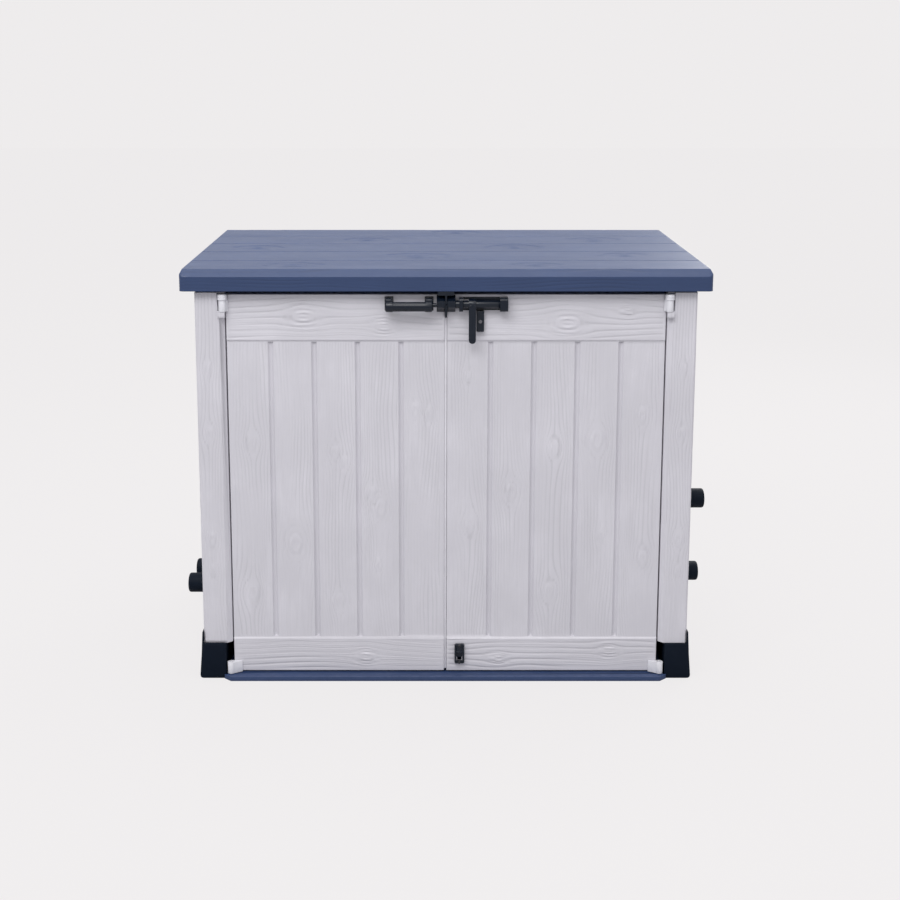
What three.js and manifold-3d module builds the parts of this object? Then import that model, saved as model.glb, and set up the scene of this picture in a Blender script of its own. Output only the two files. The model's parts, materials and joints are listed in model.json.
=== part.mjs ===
// Garden deck storage box: a plank-look resin cabinet with two front doors, a sprung lid and a slide bolt.
// Millimetres, +Z up. The front faces -Y, +X is to the right, the origin is on the ground under the middle.
import * as THREE from "three";
import { mergeVertices } from "three/addons/utils/BufferGeometryUtils.js";
import Module from "manifold-3d";

const wasm = await Module();
wasm.setup();

// ---------------------------------------------------------------- driving dimensions
const gap = 0.3; // between faces that touch
const bodyWidth = 1380; // over the corner posts
const lidOverhang = 37.5; // lid beyond the posts
const lidDepth = 820;
const doorHeight = 1095;
const doorRise = 17; // ground to the doors' lower edge
const doorThick = 35;
const doorSetback = 30; // lid's front edge to the doors' face
const doorGap = 7; // between the two doors
const doorSideGap = 4; // between a door and its post
const skin = 3; // wall of the moulded panels
const linerThick = 3;
const postFace = 67; // flat width of a corner post
const postFacet = 14; // slanted inner face of a post
const postDepth = 44;
const postProud = 8; // post's face ahead of the doors
const wallThick = 18;
const footHeight = 104;
const footWing = 36; // how much higher a foot's outer wing stands
const footProud = 7; // foot's face ahead of its post
const footFlare = 12; // foot's outer side beyond its post
const sillHeight = 13;
const sillProud = 35; // sill's edge ahead of the doors' face
const floorHeight = 24;
const floorThick = 3.5;
const lidLift = 12.6; // doors' top edge to the lid's skirt
const skirtHeight = 40; // lid's upright rim
const lidBevel = 18;
const lidRise = 21; // rear of the lid above its front
const lidWall = 4;
const plankCount = 5;
const grooveWide = 17;
const grooveDeep = 7;
const railProud = 4; // rails ahead of the planks
const topRail = 131;
const bottomRail = 100;
const hingeAhead = 9; // door pivot ahead of the doors' face
const hingeInset = 8; // door pivot beyond the door's outer edge
const pivotRadius = 5;
const runClear = 0.25; // radial clearance of a turning pin
const slideClear = 0.6; // radial clearance of the bolt
const knuckle = 10.5; // radius of a hinge lug's eye
const knobRadius = 13.3;
const gripLength = 130;
const gripRadius = 13;
const gripStand = 36; // grip's axis ahead of the doors' face
const boltRadius = 11;
const boltStand = 16; // bolt's axis ahead of the doors' face
const boltDrop = 25; // bolt's axis below the doors' top edge
const boltTravel = 15;
const leverLength = 97;
const bladeThick = 5;
const keeperHalf = 22; // width of each keeper half
const latchWide = 28;
const latchTall = 57;
const latchTravel = 12;
const latchInset = 37; // latch's middle from the door's free edge
const pegRadius = 28;
const pegLength = 70;
const lidOpen = 80; // degrees
const lidAxisInset = 25; // lid hinge ahead of the lid's rear edge
const strutInset = 30; // strut's middle inside the side wall
const strutWallAhead = 105; // wall stud ahead of the lid hinge
const strutWallDrop = 260; // wall stud below the lid hinge
const strutLidAhead = 145;
const strutLidDrop = 12;

// ---------------------------------------------------------------- derived places
const lidWidth = bodyWidth + 2 * lidOverhang;
const doorFace = -lidDepth / 2 + doorSetback;
const doorBack = doorFace + doorThick;
const doorTop = doorRise + doorHeight;
const postX = bodyWidth / 2;
const doorOuter = postX - postFace - postFacet - doorSideGap;
const hingeX = doorOuter + hingeInset;
const hingeY = doorFace - hingeAhead;
const postFront = doorFace - postProud;
const footFront = postFront - footProud;
const footInner = postX - postFace + 4;
const footOuter = postX + footFlare;
const sillFront = doorFace - sillProud;
const wallOuter = postX - 10;
const wallInner = wallOuter - wallThick;
const rearFace = lidDepth / 2 - 38;
const postTop = doorTop + 6;
const lidBottom = doorTop + lidLift;
const lidFrontTop = lidBottom + skirtHeight + lidBevel + 1.4;
const lidAxisY = lidDepth / 2 - lidAxisInset;
const lidAxisZ = lidBottom + 15.4;
const strutAcross = wallInner - strutInset;
const strutWallY = lidAxisY - strutWallAhead;
const strutWallZ = lidAxisZ - strutWallDrop;
const strutLidY = lidAxisY - strutLidAhead;
const boltZ = doorTop - boltDrop;
const boltY = doorFace - boltStand;

// ---------------------------------------------------------------- materials
function finish(color, roughness, metalness = 0) {
  return new THREE.MeshStandardMaterial({ color, roughness, metalness });
}
const paleResin = finish(0xc9c8d2, 0.55);
const navyResin = finish(0x56658f, 0.5);
const blackResin = finish(0x141a28, 0.45);
const whiteResin = finish(0xe6e6ec, 0.5);
const greySteel = finish(0x9aa0a8, 0.35, 0.9);
const blackSteel = finish(0x1c1e22, 0.4, 0.6);

// ---------------------------------------------------------------- solids
function toSolid(geometry) {
  geometry.deleteAttribute("normal");
  geometry.deleteAttribute("uv");
  const merged = mergeVertices(geometry, 1e-4);
  const vertProperties = new Float32Array(merged.attributes.position.array);
  return new wasm.Manifold(
    new wasm.Mesh({ numProp: 3, vertProperties, triVerts: new Uint32Array(merged.index.array) }),
  );
}

function toGeometry(solid) {
  const mesh = solid.getMesh();
  const geometry = new THREE.BufferGeometry();
  geometry.setAttribute("position", new THREE.BufferAttribute(mesh.vertProperties, 3));
  geometry.setIndex(new THREE.BufferAttribute(mesh.triVerts, 1));
  const flat = geometry.toNonIndexed();
  flat.computeVertexNormals();
  return flat;
}

const join = (...solids) => solids.flat().reduce((a, b) => a.add(b));
const cut = (solid, ...tools) => tools.flat().reduce((a, b) => a.subtract(b), solid);

// Axes that an outline's first and second coordinate and its extrusion run along.
const turns = {
  x: new THREE.Matrix4().makeBasis(axis(0, 1, 0), axis(0, 0, 1), axis(1, 0, 0)),
  y: new THREE.Matrix4().makeBasis(axis(1, 0, 0), axis(0, 0, 1), axis(0, -1, 0)),
  z: new THREE.Matrix4(),
};

function axis(x, y, z) {
  return new THREE.Vector3(x, y, z);
}

// An outline pushed along an axis from low to high. Outlines are (y, z), (x, z) or (x, y).
function prism(along, outline, low, high, curveSegments = 4) {
  const ready = outline instanceof THREE.Shape;
  const shape = ready ? outline : new THREE.Shape(outline.map((p) => axis2(...p)));
  const depth = high - low;
  const geometry = new THREE.ExtrudeGeometry(shape, { depth, bevelEnabled: false, curveSegments });
  geometry.translate(0, 0, along === "y" ? -high : low).applyMatrix4(turns[along]);
  return toSolid(geometry);
}

function axis2(x, y) {
  return new THREE.Vector2(x, y);
}

function box(x0, x1, y0, y1, z0, z1) {
  const geometry = new THREE.BoxGeometry(Math.abs(x1 - x0), y1 - y0, z1 - z0);
  geometry.translate((x0 + x1) / 2, (y0 + y1) / 2, (z0 + z1) / 2);
  return toSolid(geometry);
}

function roundedRect(x0, y0, x1, y1, radius) {
  const shape = new THREE.Shape();
  shape.absarc(x1 - radius, y0 + radius, radius, -Math.PI / 2, 0);
  shape.absarc(x1 - radius, y1 - radius, radius, 0, Math.PI / 2);
  shape.absarc(x0 + radius, y1 - radius, radius, Math.PI / 2, Math.PI);
  shape.absarc(x0 + radius, y0 + radius, radius, Math.PI, Math.PI * 1.5);
  return shape;
}

// A round bar along an axis from low to high, about the point (a, b) of the other two.
function bar(along, a, b, radius, low, high, sides = 24) {
  const geometry = new THREE.CylinderGeometry(radius, radius, high - low, sides);
  const middle = (low + high) / 2;
  if (along === "x") geometry.rotateZ(Math.PI / 2).translate(middle, a, b);
  if (along === "y") geometry.translate(a, middle, b);
  if (along === "z") geometry.rotateX(Math.PI / 2).translate(a, b, middle);
  return toSolid(geometry);
}

// ---------------------------------------------------------------- scene graph
const storageBox = new THREE.Group();

function group(x, y, z) {
  const made = new THREE.Group();
  made.position.set(x, y, z);
  storageBox.add(made);
  return made;
}

// Shapes are drawn in the box's own frame, then hung on their group's origin.
function add(parent, name, material, solid) {
  const geometry = toGeometry(solid).translate(-parent.position.x, -parent.position.y, -parent.position.z);
  const mesh = new THREE.Mesh(geometry, material);
  mesh.name = name;
  parent.add(mesh);
}

const sides = [
  { name: "left", s: -1 },
  { name: "right", s: 1 },
];
const frame = group(0, 0, 0);
const lid = group(0, lidAxisY, lidAxisZ);
const doors = { left: group(-hingeX, hingeY, 0), right: group(hingeX, hingeY, 0) };

// Edges of equal planks between two places, and a groove cutter along each inner edge.
function plankEdges(low, high) {
  return Array.from({ length: plankCount - 1 }, (_, i) => low + ((i + 1) * (high - low)) / plankCount);
}

function span(s, a, b) {
  return s > 0 ? [a, b] : [-b, -a];
}

// ---------------------------------------------------------------- base and feet
const trayX = postX - 6; // half the tray's width between the feet
const footLength = 95;

function baseTray() {
  const sillRoot = footInner - 3;
  const sillEnd = sillRoot - 12;
  const rootY = footFront - 2;
  const sill = prism(
    "z",
    [
      [-sillEnd, sillFront],
      [sillEnd, sillFront],
      [sillRoot + 8, rootY],
      [sillRoot + 8, rootY + 1],
      [sillRoot, rootY + 1],
      [sillRoot, doorBack + 10],
      [-sillRoot, doorBack + 10],
      [-sillRoot, rootY + 1],
      [-sillRoot - 8, rootY + 1],
      [-sillRoot - 8, rootY],
    ],
    0,
    sillHeight,
  );
  const plan = [
    [-sillRoot, doorBack + 2],
    [sillRoot, doorBack + 2],
    [sillRoot, footFront + footLength + 1],
    [trayX, footFront + footLength + 1],
    [trayX, rearFace - footLength],
    [sillRoot, rearFace - footLength],
    [sillRoot, rearFace],
    [-sillRoot, rearFace],
    [-sillRoot, rearFace - footLength],
    [-trayX, rearFace - footLength],
    [-trayX, footFront + footLength + 1],
    [-sillRoot, footFront + footLength + 1],
  ];
  let tray = join(sill, prism("z", plan, 0, floorHeight));
  const cellsX = 6;
  const cellsY = 3;
  const rib = 5;
  const [x0, x1, y0, y1] = [-sillRoot + 12, sillRoot - 12, doorBack + 14, rearFace - 12];
  const padHalf = 35;
  const cells = [];
  for (let i = 0; i < cellsX; i++) {
    for (let j = 0; j < cellsY; j++) {
      const edgeX = (k) => x0 + (k * (x1 - x0)) / cellsX;
      const edgeY = (k) => y0 + (k * (y1 - y0)) / cellsY;
      const [low, high] = [rib / 2, -rib / 2];
      const cell = [edgeX(i) + low, edgeX(i + 1) + high, edgeY(j) + low, edgeY(j + 1) + high];
      cells.push(box(...cell, -1, floorHeight - floorThick));
    }
  }
  const pad = box(-padHalf, padHalf, -padHalf, padHalf, 0, floorHeight - 2);
  tray = join(cut(tray, cells), pad);
  // socket for the right door's latch, and two pivot seats
  const latchX = doorGap / 2 + latchInset;
  const socket = box(latchX - 8, latchX + 8, doorFace + 5, doorFace + 22, 4, sillHeight + 1);
  const seats = sides.map(({ s }) => bar("z", s * hingeX, hingeY, pivotRadius + gap, 4, sillHeight + 1));
  return cut(tray, socket, seats);
}
add(frame, "base_tray", navyResin, baseTray());

// A foot cups the lower end of a post. The front one is drawn; the rear one is its mirror in Y.
function foot(s, front) {
  const wingTop = footHeight + footWing;
  const outline = new THREE.Shape();
  outline.moveTo(s * footInner, 0);
  outline.lineTo(s * (footOuter - 10), 0);
  outline.quadraticCurveTo(s * footOuter, 0, s * footOuter, 10);
  outline.quadraticCurveTo(s * (footOuter - 6), footHeight * 0.7, s * (postX + 3), wingTop);
  outline.lineTo(s * (postX + gap), wingTop);
  outline.lineTo(s * (postX + gap), footHeight);
  outline.lineTo(s * footInner, footHeight);
  const y0 = front ? footFront : rearFace + footProud - footLength;
  const y1 = y0 + footLength;
  const body = prism("y", outline, y0, y1);
  const [hx0, hx1] = span(s, footInner + 6, postX - 4);
  const hollow = box(hx0, hx1, y0 + 6, y1 - 6, -1, footHeight - 6);
  return cut(body, hollow);
}
for (const { name, s } of sides) {
  add(frame, `front_foot_${name}`, blackResin, foot(s, true));
  add(frame, `rear_foot_${name}`, blackResin, foot(s, false));
}

// ---------------------------------------------------------------- posts
const bevel = 5;
const wallSeat = 12; // how deep a wall sits in a post

function frontPost(s) {
  const face = postX - postFace;
  const plan = [
    [postX, postFront + bevel],
    [postX - bevel, postFront],
    [face, postFront],
    [face - postFacet, doorFace + 4],
    [face - postFacet, doorBack + 10],
    [wallInner, doorBack + 10],
    [wallInner, postFront + postDepth + 30],
    [postX, postFront + postDepth + 30],
  ].map(([x, y]) => [s * x, y]);
  const bottom = footHeight + gap;
  const post = prism("z", plan, bottom, postTop);
  const [cx0, cx1] = span(s, face - 4, postX - 4);
  const core = box(cx0, cx1, postFront + 17, doorBack + 6, bottom - 1, doorTop - 70);
  const [wx0, wx1] = span(s, wallInner - 1, wallOuter + gap);
  const slot = box(wx0, wx1, postFront + postDepth + 30 - wallSeat, 0, bottom - 1, postTop + 1);
  const [fx0, fx1] = span(s, face + 4, postX - bevel);
  const frontCore = box(fx0, fx1, postFront + 5, postFront + 18, bottom - 1, doorTop - 70);
  // room for the two hinge eyes, and a shelf under the upper one
  const [ex0, ex1] = span(s, face - postFacet - 1, hingeX + knobRadius + 1.5);
  const upper = box(ex0, ex1, postFront - 1, hingeY + knobRadius + 1.5, doorTop - 46, postTop + 1);
  const [hx0, hx1] = span(s, hingeX - 6, hingeX + 12);
  const shelf = box(hx0, hx1, hingeY - 9, doorFace + 8, doorTop - 64, doorTop - 47);
  const seat = bar("z", s * hingeX, hingeY, pivotRadius + gap, doorTop - 60, doorTop);
  return cut(join(cut(post, core, frontCore, slot, upper), shelf), seat);
}

function rearPost(s) {
  const plan = [
    [postX, rearFace - 75],
    [postX, rearFace - bevel],
    [postX - bevel, rearFace],
    [postX - postFace, rearFace],
    [postX - postFace, rearFace - wallThick - 6],
    [wallInner, rearFace - wallThick - 6],
    [wallInner, rearFace - 75],
  ].map(([x, y]) => [s * x, y]);
  const bottom = footHeight + gap;
  const post = prism("z", plan, bottom, postTop);
  const [sx0, sx1] = span(s, wallInner - 1, wallOuter + gap);
  const sideSlot = box(sx0, sx1, 0, rearFace - 75 + wallSeat, bottom - 1, postTop + 1);
  const [rx0, rx1] = span(s, 0, postX - postFace + wallSeat);
  const rearSlot = box(rx0, rx1, rearFace - wallThick - 7, rearFace - 4 + gap, bottom - 1, postTop + 1);
  const [cx0, cx1] = span(s, wallInner + 4, postX - 4);
  const core = box(cx0, cx1, rearFace - 60, rearFace - 5, bottom - 1, postTop - 6);
  return cut(post, sideSlot, rearSlot, core);
}

// ---------------------------------------------------------------- wall panels
const wallBottom = floorHeight + gap;
const wallTop = postTop;
const wallGroove = 3;
const ribDepth = 10;

// A flat panel in X and Z, outside at y = 0: plank grooves outside, and pockets between its ribs inside.
// Its lower part, between the feet, runs from footX0 to footX1.
function wallPanel(x0, x1, footX0, footX1) {
  const [z0, z1] = [wallBottom, wallTop];
  const step = footHeight + 4;
  const panel = join(box(x0, x1, 0, wallThick, step, z1), box(footX0, footX1, 0, wallThick, z0, step + 1));
  const edges = plankEdges(x0, x1);
  const marks = [x0 + 4, ...edges, x1 - 4];
  const grooves = edges.map((x) =>
    prism(
      "z",
      [
        [x - grooveWide / 2, -1],
        [x - grooveWide / 4, wallGroove],
        [x + grooveWide / 4, wallGroove],
        [x + grooveWide / 2, -1],
      ],
      z0 - 1,
      z1 + 1,
    ),
  );
  const rib = grooveWide / 2 + 1;
  const pockets = [];
  const middle = (step + z1) / 2;
  for (let i = 0; i < plankCount; i++) {
    for (const [low, high] of [
      [step + 10, middle - 6],
      [middle + 6, z1 - 14],
    ]) {
      pockets.push(box(marks[i] + rib, marks[i + 1] - rib, skin, wallThick + 1, low, high));
    }
  }
  const ribTops = box(x0 + 20, x1 - 20, ribDepth, wallThick + 1, step + 16, z1 - 16);
  return cut(panel, grooves, pockets, ribTops);
}

// Walls stand between the posts: side panels turned a quarter, the rear in two halves.
const sideLow = postFront + postDepth + 30 - wallSeat + gap;
const sideHigh = rearFace - 75 + wallSeat - gap;

function sideWall(s) {
  const [low, high] = [footFront + footLength + 4, rearFace + footProud - footLength - 4];
  const panel = wallPanel(sideLow, sideHigh, low, high);
  const turned = panel.rotate([0, 0, 90]);
  const placed = (s > 0 ? turned : turned.mirror([1, 0, 0])).translate([s * wallOuter, 0, 0]);
  // a solid pad behind the strut's bracket
  const [px0, px1] = span(s, wallInner, wallOuter - skin + 1);
  return join(placed, box(px0, px1, strutWallY - 24, strutWallY + 24, strutWallZ - 32, strutWallZ + 32));
}

function rearWall(s) {
  const low = 8;
  const high = postX - postFace + wallSeat - gap;
  const turned = wallPanel(-high, -low, -(footInner - 4), -low).rotate([0, 0, 180]);
  return (s > 0 ? turned : turned.mirror([1, 0, 0])).translate([0, rearFace - 4, 0]);
}

function rearStrip() {
  const half = 22;
  const wallBack = rearFace - 4;
  const wallInside = wallBack - wallThick;
  const web = box(-7.5, 7.5, wallInside - 3.5, rearFace, wallBottom, wallTop);
  const inside = box(-half, half, wallInside - 3.5, wallInside - gap, wallBottom, wallTop);
  const outside = box(-half, half, wallBack + gap, rearFace, wallBottom, wallTop);
  return join(web, inside, outside);
}

for (const { name, s } of sides) {
  add(frame, `front_post_${name}`, paleResin, frontPost(s));
  add(frame, `rear_post_${name}`, paleResin, rearPost(s));
  add(frame, `side_wall_${name}`, paleResin, sideWall(s));
  add(frame, `rear_wall_${name}`, paleResin, rearWall(s));
}
add(frame, "rear_centre_strip", paleResin, rearStrip());

// ---------------------------------------------------------------- side pegs
const pegs = [
  { name: "left_front", s: -1, y: -255, z: 235 },
  { name: "left_rear", s: -1, y: -115, z: 228 },
  { name: "right_upper", s: 1, y: -256, z: 493 },
  { name: "right_lower", s: 1, y: -203, z: 252 },
];
for (const { name, s, y, z } of pegs) {
  const profile = new THREE.Path();
  profile.moveTo(0, 0);
  profile.lineTo(pegRadius + 4, 0);
  profile.lineTo(pegRadius + 4, 5);
  profile.lineTo(pegRadius, 7);
  profile.lineTo(pegRadius, pegLength - 10);
  profile.absarc(pegRadius - 10, pegLength - 10, 10, 0, Math.PI / 2);
  profile.lineTo(0, pegLength);
  const points = profile.getPoints(3);
  const geometry = new THREE.LatheGeometry(points, 20).rotateZ((-s * Math.PI) / 2);
  add(frame, `side_peg_${name}`, blackResin, toSolid(geometry.translate(s * (wallOuter + gap), y, z)));
}

// ---------------------------------------------------------------- doors
// Drawn for the right door, then mirrored for the left one.
const freeEdge = doorGap / 2;
const latchZ = doorRise + 53.5;
const lowLug = [doorRise - 2, doorRise + 31];
const topLug = [doorTop - 46, doorTop - 14];
const backChamfer = 5;
const plankFace = doorFace + railProud;

function mirrored(s, solid) {
  return s > 0 ? solid : solid.mirror([1, 0, 0]);
}

function doorGroove(x) {
  const low = doorRise + bottomRail + 2;
  const high = doorTop - topRail - 2;
  const deep = doorFace + railProud + grooveDeep;
  const half = grooveWide / 2;
  const plan = new THREE.Shape();
  plan.moveTo(x - half - 2, doorFace - 1);
  plan.quadraticCurveTo(x - half * 0.6, deep, x, deep);
  plan.quadraticCurveTo(x + half * 0.6, deep, x + half + 2, doorFace - 1);
  return prism("z", plan, low, high, 3);
}

function doorSkin(s) {
  const plan = [
    [freeEdge, doorFace],
    [doorOuter, doorFace],
    [doorOuter, doorBack - linerThick - gap],
    [freeEdge + backChamfer, doorBack - linerThick - gap],
    [freeEdge, doorFace + 15],
  ];
  const block = prism("z", plan, doorRise, doorTop);
  const low = doorRise + bottomRail;
  const high = doorTop - topRail;
  const field = prism(
    "x",
    [
      [doorFace - 1, low - railProud - 1],
      [plankFace, low + 1],
      [plankFace, high - 1],
      [doorFace - 1, high + railProud + 1],
    ],
    freeEdge - 1,
    doorOuter + 1,
  );
  const edges = plankEdges(freeEdge, doorOuter);
  const marks = [freeEdge + 2, ...edges, doorOuter - 6];
  const rib = grooveWide / 2 + 1;
  const pockets = [];
  for (let i = 0; i < plankCount; i++) {
    const [x0, x1] = [marks[i] + rib, marks[i + 1] - rib];
    pockets.push(box(x0, x1, plankFace + skin, doorBack, low + 6, high - 6));
    pockets.push(box(x0, x1, doorFace + skin + 1, doorBack, high + 6, doorTop - skin));
    pockets.push(box(x0, x1, doorFace + skin + 1, doorBack, doorRise + skin, low - 6));
  }
  const knobRoom = bar("z", hingeX, hingeY, knobRadius + 1.2, topLug[0] - 1, doorTop + 1);
  const door = cut(block, field, edges.map(doorGroove), pockets, knobRoom);
  if (s < 0) return mirrored(s, door);
  // the right door takes the latch's bolt: a slot in its face and a hole in its lower edge
  const x = freeEdge + latchInset;
  const slot = box(x - 6, x + 6, doorFace - 1, doorFace + 9, latchZ - 23, latchZ + 18);
  const hole = box(x - 6, x + 6, doorFace + 7, doorFace + 20, doorRise - 1, doorRise + 9);
  return cut(door, slot, hole);
}

function doorLiner(s) {
  const plan = [
    [freeEdge + backChamfer, doorBack - linerThick],
    [doorOuter, doorBack - linerThick],
    [doorOuter - 2, doorBack],
    [freeEdge + backChamfer + 1, doorBack],
  ];
  return mirrored(s, prism("z", plan, doorRise, doorTop));
}

// An eye round the pivot that tapers along the door's face.
function lug(s, z0, z1, reach) {
  const x = hingeX;
  const eye = bar("z", x, hingeY, knuckle, z0, z1);
  const wedge = prism(
    "z",
    [
      [x, hingeY - knuckle],
      [x + 3, hingeY - knuckle + 1],
      [x - 2, doorFace - gap],
      [x - reach, doorFace - gap],
      [x - reach, doorFace - 3],
    ],
    z0,
    z1,
  );
  const bore = bar("z", x, hingeY, pivotRadius + runClear, z0 - 1, z1 + 1);
  return mirrored(s, cut(join(eye, wedge), bore));
}

for (const { name, s } of sides) {
  add(doors[name], `${name}_door_skin`, paleResin, doorSkin(s));
  add(doors[name], `${name}_door_liner`, paleResin, doorLiner(s));
  add(doors[name], `${name}_door_top_lug`, whiteResin, lug(s, ...topLug, 14));
  add(doors[name], `${name}_door_bottom_lug`, whiteResin, lug(s, ...lowLug, 31));
  const shaft = bar("z", s * hingeX, hingeY, pivotRadius, doorTop - 59, topLug[1] + 2);
  const knob = bar("z", s * hingeX, hingeY, knobRadius, topLug[1] + gap, topLug[1] + 17);
  add(frame, `top_hinge_pin_${name}`, whiteResin, join(shaft, knob));
  const stub = bar("z", s * hingeX, hingeY, pivotRadius, 5, lowLug[1] - 4);
  const collar = bar("z", s * hingeX, hingeY, pivotRadius + 3, sillHeight + gap, lowLug[0] - gap);
  add(frame, `bottom_pivot_${name}`, whiteResin, join(stub, collar));
}

// ---------------------------------------------------------------- left door's furniture
const faceGap = doorFace - gap;
const gripEnd = -freeEdge - 33;
const gripStart = gripEnd - gripLength;
const gripY = doorFace - gripStand;

function handle() {
  const grip = bar("x", gripY, boltZ, gripRadius, gripStart, gripEnd);
  const feet = [gripStart, gripEnd - 22].map((x) =>
    box(x, x + 22, gripY, faceGap, boltZ - gripRadius, boltZ + gripRadius),
  );
  const plates = [gripStart, gripEnd - 22].map((x) =>
    box(x - 2, x + 24, faceGap - 4, faceGap, boltZ - gripRadius - 7, boltZ + gripRadius + 7),
  );
  return join(grip, feet, plates);
}
add(doors.left, "left_handle", blackResin, handle());

const keeperLow = boltZ - 23;
const keeperHigh = doorTop - 1;
function keeper(s) {
  const outline = [
    [doorFace - 4, keeperLow],
    [faceGap, keeperLow],
    [faceGap, keeperHigh],
    [doorFace - 10, keeperHigh],
    [boltY - boltRadius - 1, boltZ + 9],
    [boltY - boltRadius - 2, boltZ - 7],
    [doorFace - 14, boltZ - 14],
  ];
  const block = prism("x", outline, freeEdge, freeEdge + keeperHalf);
  const boreEnd = freeEdge + (s < 0 ? boltTravel : keeperHalf + 1);
  const bore = bar("x", boltY, boltZ, boltRadius + slideClear, freeEdge - 1, boreEnd);
  return mirrored(s, cut(block, bore));
}
add(doors.left, "left_keeper", blackResin, keeper(-1));
add(doors.right, "right_keeper", blackResin, keeper(1));

const stripReach = doorGap - 0.8;
add(
  doors.left,
  "meeting_strip",
  paleResin,
  box(-freeEdge + gap, -freeEdge + stripReach, doorFace + 3, doorFace + 10, doorRise + 5, keeperLow - 16),
);

// ---------------------------------------------------------------- right door's bolt
const collarOne = [freeEdge + 32, freeEdge + 42.5];
const collarTwo = [freeEdge + 143.5, freeEdge + 165.5];
const leverX = [freeEdge + 58.5, freeEdge + 78];
const tabX = [freeEdge + 80.5, freeEdge + 101];

function boltHousing() {
  const half = 18.5;
  const collars = [collarOne, collarTwo].map(([x0, x1]) =>
    prism("x", roundedRect(boltY - boltRadius - 7, boltZ - half, faceGap, boltZ + half, 7), x0, x1),
  );
  const plate = box(collarOne[0], collarTwo[1], faceGap - 3, faceGap, boltZ - half, boltZ + half);
  const [wx0, wx1] = [leverX[0] - boltTravel - 1, leverX[1] + 1];
  const window = box(wx0, wx1, faceGap - 4, faceGap + 1, boltZ - 13, boltZ + 13);
  const bore = bar("x", boltY, boltZ, boltRadius + slideClear, collarOne[0] - 1, collarTwo[1] + 1);
  return cut(join(collars, plate), window, bore);
}
add(doors.right, "bolt_housing", blackResin, boltHousing());

// A hanging tab with a hole for a padlock's shackle.
function padlockTab() {
  const top = boltZ - 19;
  const bottom = top - 58;
  const front = doorFace - 13;
  const plate = box(...tabX, front, front + 5, bottom, top);
  const foot = box(...tabX, front + 4, faceGap, bottom, bottom + 8);
  const head = box(...tabX, front + 4, faceGap, top - 8, top);
  const hole = bar("y", (tabX[0] + tabX[1]) / 2, top - 30, 5, front - 1, front + 6);
  return cut(join(plate, foot, head), hole);
}
add(doors.right, "padlock_tab", blackResin, padlockTab());

// Its right end stays inside the second collar over its whole travel.
add(doors.right, "bolt_rod", blackResin, bar("x", boltY, boltZ, boltRadius, freeEdge + 1, collarTwo[1] + 1));

// The lever turns on the bolt: an eye, and an arm that hangs in front of the tab's plane.
function lever() {
  const eye = bar("x", boltY, boltZ, boltRadius + 4.5, ...leverX);
  const front = boltY - boltRadius - 4.5;
  const arm = prism(
    "y",
    roundedRect(leverX[0], boltZ - leverLength - 10, leverX[1], boltZ, 9),
    front,
    front + 8,
  );
  const bore = bar("x", boltY, boltZ, boltRadius + slideClear, leverX[0] - 1, leverX[1] + 1);
  return cut(join(eye, arm), bore);
}
add(doors.right, "bolt_lever", blackResin, lever());

// ---------------------------------------------------------------- right door's floor latch
const latchX = freeEdge + latchInset;

function latchHousing() {
  const [x0, x1] = [latchX - latchWide / 2, latchX + latchWide / 2];
  const [z0, z1] = [latchZ - latchTall / 2, latchZ + latchTall / 2];
  const block = prism("y", roundedRect(x0, z0, x1, z1, 4), faceGap - 9, faceGap);
  return cut(block, box(x0 + 5, x1 - 5, faceGap - 10, 0, z0 + 6, z1 - 6));
}

function latchSlider() {
  const thumbLow = latchZ - 9;
  const thumb = box(latchX - 8.5, latchX + 8.5, faceGap - 7, faceGap - 2, thumbLow, latchZ + 22);
  const ridge = box(latchX - 8.5, latchX + 8.5, faceGap - 11, faceGap - 6, latchZ + 3, latchZ + 9);
  const stem = box(latchX - 5, latchX + 5, faceGap - 3, doorFace + 12, latchZ - 8, latchZ + 10);
  const bolt = box(latchX - 5, latchX + 5, doorFace + 9.5, doorFace + 18, doorRise + 1.5, latchZ + 12);
  return join(thumb, ridge, stem, bolt);
}
add(doors.right, "latch_housing", blackResin, latchHousing());
add(doors.right, "latch_slider", blackResin, latchSlider());

// ---------------------------------------------------------------- lid
const lidHalf = lidWidth / 2;
const lidFront = -lidDepth / 2;
const lidRear = lidDepth / 2;
const lidRearTop = lidFrontTop + lidRise;

// The lid's outer form, moved in by inset on every side but its open underside.
function lidForm(inset, floorFront, floorRear) {
  const topAt = (y) => lidFrontTop - inset + ((y - lidFront) / lidDepth) * lidRise;
  const side = [
    [lidFront + inset, floorFront],
    [lidFront + inset, lidBottom + skirtHeight],
    [lidFront + inset + lidBevel, topAt(lidFront + inset + lidBevel)],
    [lidRear - inset - lidBevel, topAt(lidRear - inset - lidBevel)],
    [lidRear - inset, topAt(lidRear) - lidBevel],
    [lidRear - inset, floorRear],
    [lidRear - inset - 60, floorRear],
    [lidRear - inset - 90, floorFront],
  ];
  const half = lidHalf - inset;
  const front = [
    [-half, 0],
    [half, 0],
    [half, lidBottom + skirtHeight + 4],
    [half - lidBevel, lidRearTop + 2],
    [-half + lidBevel, lidRearTop + 2],
    [-half, lidBottom + skirtHeight + 4],
  ];
  const corner = Math.max(14 - inset, 4);
  const plan = roundedRect(-half, lidFront + inset, half, lidRear - inset, corner);
  return prism("x", side, -half, half)
    .intersect(prism("y", front, lidFront, lidRear))
    .intersect(prism("z", plan, 0, lidRearTop + 10));
}

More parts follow.
